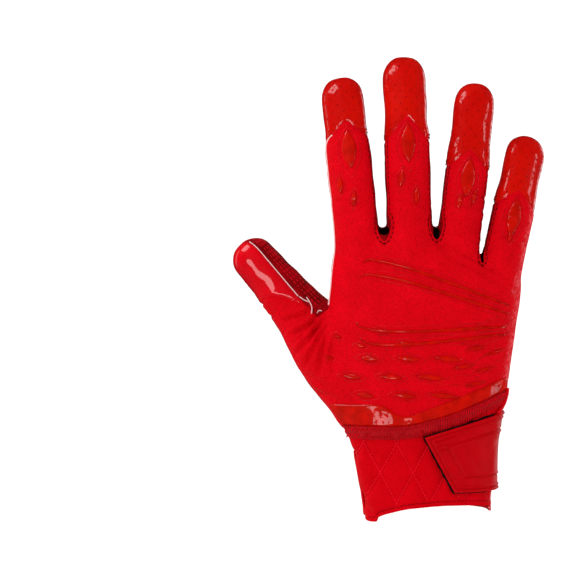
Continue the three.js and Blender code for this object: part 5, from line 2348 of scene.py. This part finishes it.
@dataclass(frozen=True)
class Lamp:
    """A rectangular soft lamp: its place, target, size and power, and whether gloss shows it."""

    name: str
    place: tuple
    target: tuple
    width: float
    height: float
    power: float
    in_gloss: bool = True

    def build(self) -> None:
        """Makes the lamp."""
        deselect()
        bpy.ops.object.light_add(type="AREA", location=self.place)
        lamp = bpy.context.active_object
        lamp.name = self.name
        lamp.data.shape = "RECTANGLE"
        lamp.data.size, lamp.data.size_y = self.width, self.height
        lamp.data.energy = self.power
        lamp.visible_glossy = self.in_gloss
        lamp.visible_camera = False
        way = Vector(self.target) - Vector(self.place)
        lamp.rotation_euler = way.to_track_quat("-Z", "Y").to_euler()


@dataclass
class Studio:
    """The camera, the pale backdrop and the soft lights."""

    eye: tuple = (-0.0722, -0.796, 0.1163)
    floor: float = -0.05
    lens: float = 100
    world: float = 0.5
    lamps: tuple = (
        Lamp("key_soft", (-0.62, -0.95, 0.65), (-0.02, 0, 0.12), 0.7, 0.9, 4.4, False),
        Lamp("fill_right", (0.9, -0.6, 0.3), (0, 0, 0.12), 0.6, 0.8, 1.9, False),
        Lamp("key_gloss", (-0.5, -1.1, 0.03), (-0.04, 0, 0.1), 0.62, 0.34, 3.0),
        Lamp("rim_left", (-1.0, 0.42, 0.25), (-0.03, 0, 0.14), 0.2, 0.9, 0.5),
        Lamp("edge_right", (1.1, -0.3, 0.1), (0.03, 0, 0.12), 0.26, 0.9, 2.0),
        Lamp("rim_right", (0.8, 0.8, 0.2), (0.03, 0, 0.12), 0.4, 0.9, 2.4),
        Lamp("box_high", (-0.7, -0.12, 0.95), (-0.03, 0, 0.16), 0.6, 0.6, 4.4),
        Lamp("wash_left", (-1.2, 0.7, 1.3), (-0.3, 1.7, 0.4), 0.8, 0.8, 15.0, False),
        Lamp("wash_right", (1.2, 0.7, 1.3), (0.3, 1.7, 0.4), 0.8, 0.8, 15.0, False),
    )

    def camera(self) -> None:
        """Makes the camera, level with the middle of the glove, at the photograph's angle."""
        bpy.ops.object.camera_add(location=self.eye, rotation=(math.pi / 2, 0, 0))
        camera = bpy.context.active_object
        camera.name = "view"
        camera.data.lens = self.lens
        camera.data.sensor_width = 36
        bpy.context.scene.camera = camera

    def backdrop(self, material: Material) -> None:
        """Makes the floor that curves up into the wall behind."""
        deselect()
        bpy.ops.mesh.primitive_plane_add(size=1, location=(0, 0, 0))
        obj = bpy.context.active_object
        obj.name = "backdrop"
        profile = [(-2.5, 0.0), (0.9, 0.0)]
        for turn in np.linspace(0, math.pi / 2, 13)[1:]:
            profile.append((0.9 + 0.9 * math.sin(turn), 0.9 - 0.9 * math.cos(turn)))
        profile.append((1.8, 3.0))
        corners = [(x, y, self.floor + z) for y, z in profile for x in (-3.0, 3.0)]
        faces = [(2 * i, 2 * i + 1, 2 * i + 3, 2 * i + 2) for i in range(len(profile) - 1)]
        obj.data.clear_geometry()
        obj.data.from_pydata(corners, [], faces)
        obj.data.materials.append(material)
        pick(obj)
        bpy.ops.object.shade_smooth()
        obj.visible_glossy = False

    def light(self) -> None:
        """Makes the lamps and the world's even light, which gloss doesn't show."""
        for lamp in self.lamps:
            lamp.build()
        world = bpy.data.worlds.new("studio")
        world.use_nodes = True
        world.node_tree.nodes["Background"].inputs["Color"].default_value = (1, 1, 1, 1)
        world.node_tree.nodes["Background"].inputs["Strength"].default_value = self.world
        world.cycles_visibility.glossy = False
        bpy.context.scene.world = world
        bpy.context.scene.view_settings.view_transform = "Standard"


def finishes() -> dict[str, Material]:
    """Makes every material, by a short name."""
    cloth = Cloth(
        "stretch_cloth",
        (0.68, 0.0, 0.006),
        (0.54, 0.0, 0.004),
        0.95 * MM,
        0.5 * MM,
        gloss=0.03,
        rubbed=0.8,
    )
    quilt = Cloth("quilted_cloth", (0.6, 0.0, 0.005), (0.48, 0.0, 0.003), 0.5 * MM, 0.12 * MM, 0.8, 0.02)
    side = WallCloth("sidewall_cloth", (0.32, 0.0, 0.003), (0.16, 0.0, 0.001), 1.1 * MM, 0.3 * MM, 0.8)
    hook = Cloth("hook_tape", (0.012, 0.008, 0.008), (0.003, 0.002, 0.002), 0.9 * MM, 0.5 * MM)
    made = {
        "patent": PatentLeather(),
        "cloth": cloth,
        "quilt": quilt,
        "mesh": side,
        "hook": hook,
        "print": Rubber("raised_print", (0.54, 0.003, 0.0), 0.3, 0.8, gloss=0.05, ragged=0.2 * MM),
        "line": Rubber("fine_print_lines", (0.62, 0.0, 0.004), 0.4, 0.1, gloss=0.1),
        "strap": Rubber("moulded_strap", (0.46, 0.0, 0.003), 0.3, 0.0, 0.04 * MM, 0.04 * MM, 0.04, 0.92),
        "tape": Tape("woven_tape", (0.5, 0.0, 0.004), (0.2, 0.0, 0.002)),
        "cap": PatentLeather("cap_leather", hole_radius=0.0),
        "tab": Tape("pull_tab_tape", (0.3, 0.0, 0.004), (0.06, 0.0, 0.001), 0.8 * MM, math.atan(0.17)),
        "patch": Rubber("plain_patch", (0.1, 0.0, 0.002), 0.5, 0.05, 0.04 * MM),
        "dark": Thread("dark_thread", (0.12, 0.0, 0.002)),
        "ruby": Thread("ruby_thread", (0.2, 0.0, 0.003)),
        "bright": Thread("bright_thread", (0.86, 0.002, 0.014)),
        "pale": Thread("pale_edge", (0.9, 0.55, 0.55), 0.4),
        "studio": StudioPaint(),
    }
    return {key: finish.build() for key, finish in made.items()}


def main() -> None:
    """Builds the whole scene."""
    logging.basicConfig(level=logging.INFO, format="%(name)s: %(message)s")
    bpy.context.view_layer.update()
    studio = Studio()
    studio.camera()
    finish = finishes()
    hand, pattern = HandForm(), Pattern()
    relief = Relief(pattern)
    form = hand.build()
    shop = Workshop(form, hand, pattern, relief)
    skins = {panel: (finish["mesh"], "mesh", 0.0) for panel in (Panel.GUSSET, *WALLS)}
    skins |= {
        Panel.BACK: (finish["cloth"], "cloth", 0.12 * MM),
        Panel.PALM: (finish["patent"], "patent", 0.0),
        Panel.THUMB: (finish["patent"], "patent", 0.0),
        Panel.CAP: (finish["cap"], "print", 0.0),
        Panel.CUFF: (finish["quilt"], "quilt", 0.0),
    }
    seams = Panels(shop).build(skins)
    RaisedPrint(shop).build(finish["print"], finish["line"])
    wrist = WristPieces(shop)
    wrist.hem(finish["tape"])
    wrist.hook(finish["hook"])
    wrist.strap(finish["strap"])
    wrist.binding(finish["quilt"])
    wrist.tab(finish["tab"])
    wrist.patches(finish["patch"])
    Trim(shop, seams).build(finish)
    bpy.data.objects.remove(form, do_unlink=True)
    studio.backdrop(finish["studio"])
    studio.light()


if __name__ == "__main__":
    main()
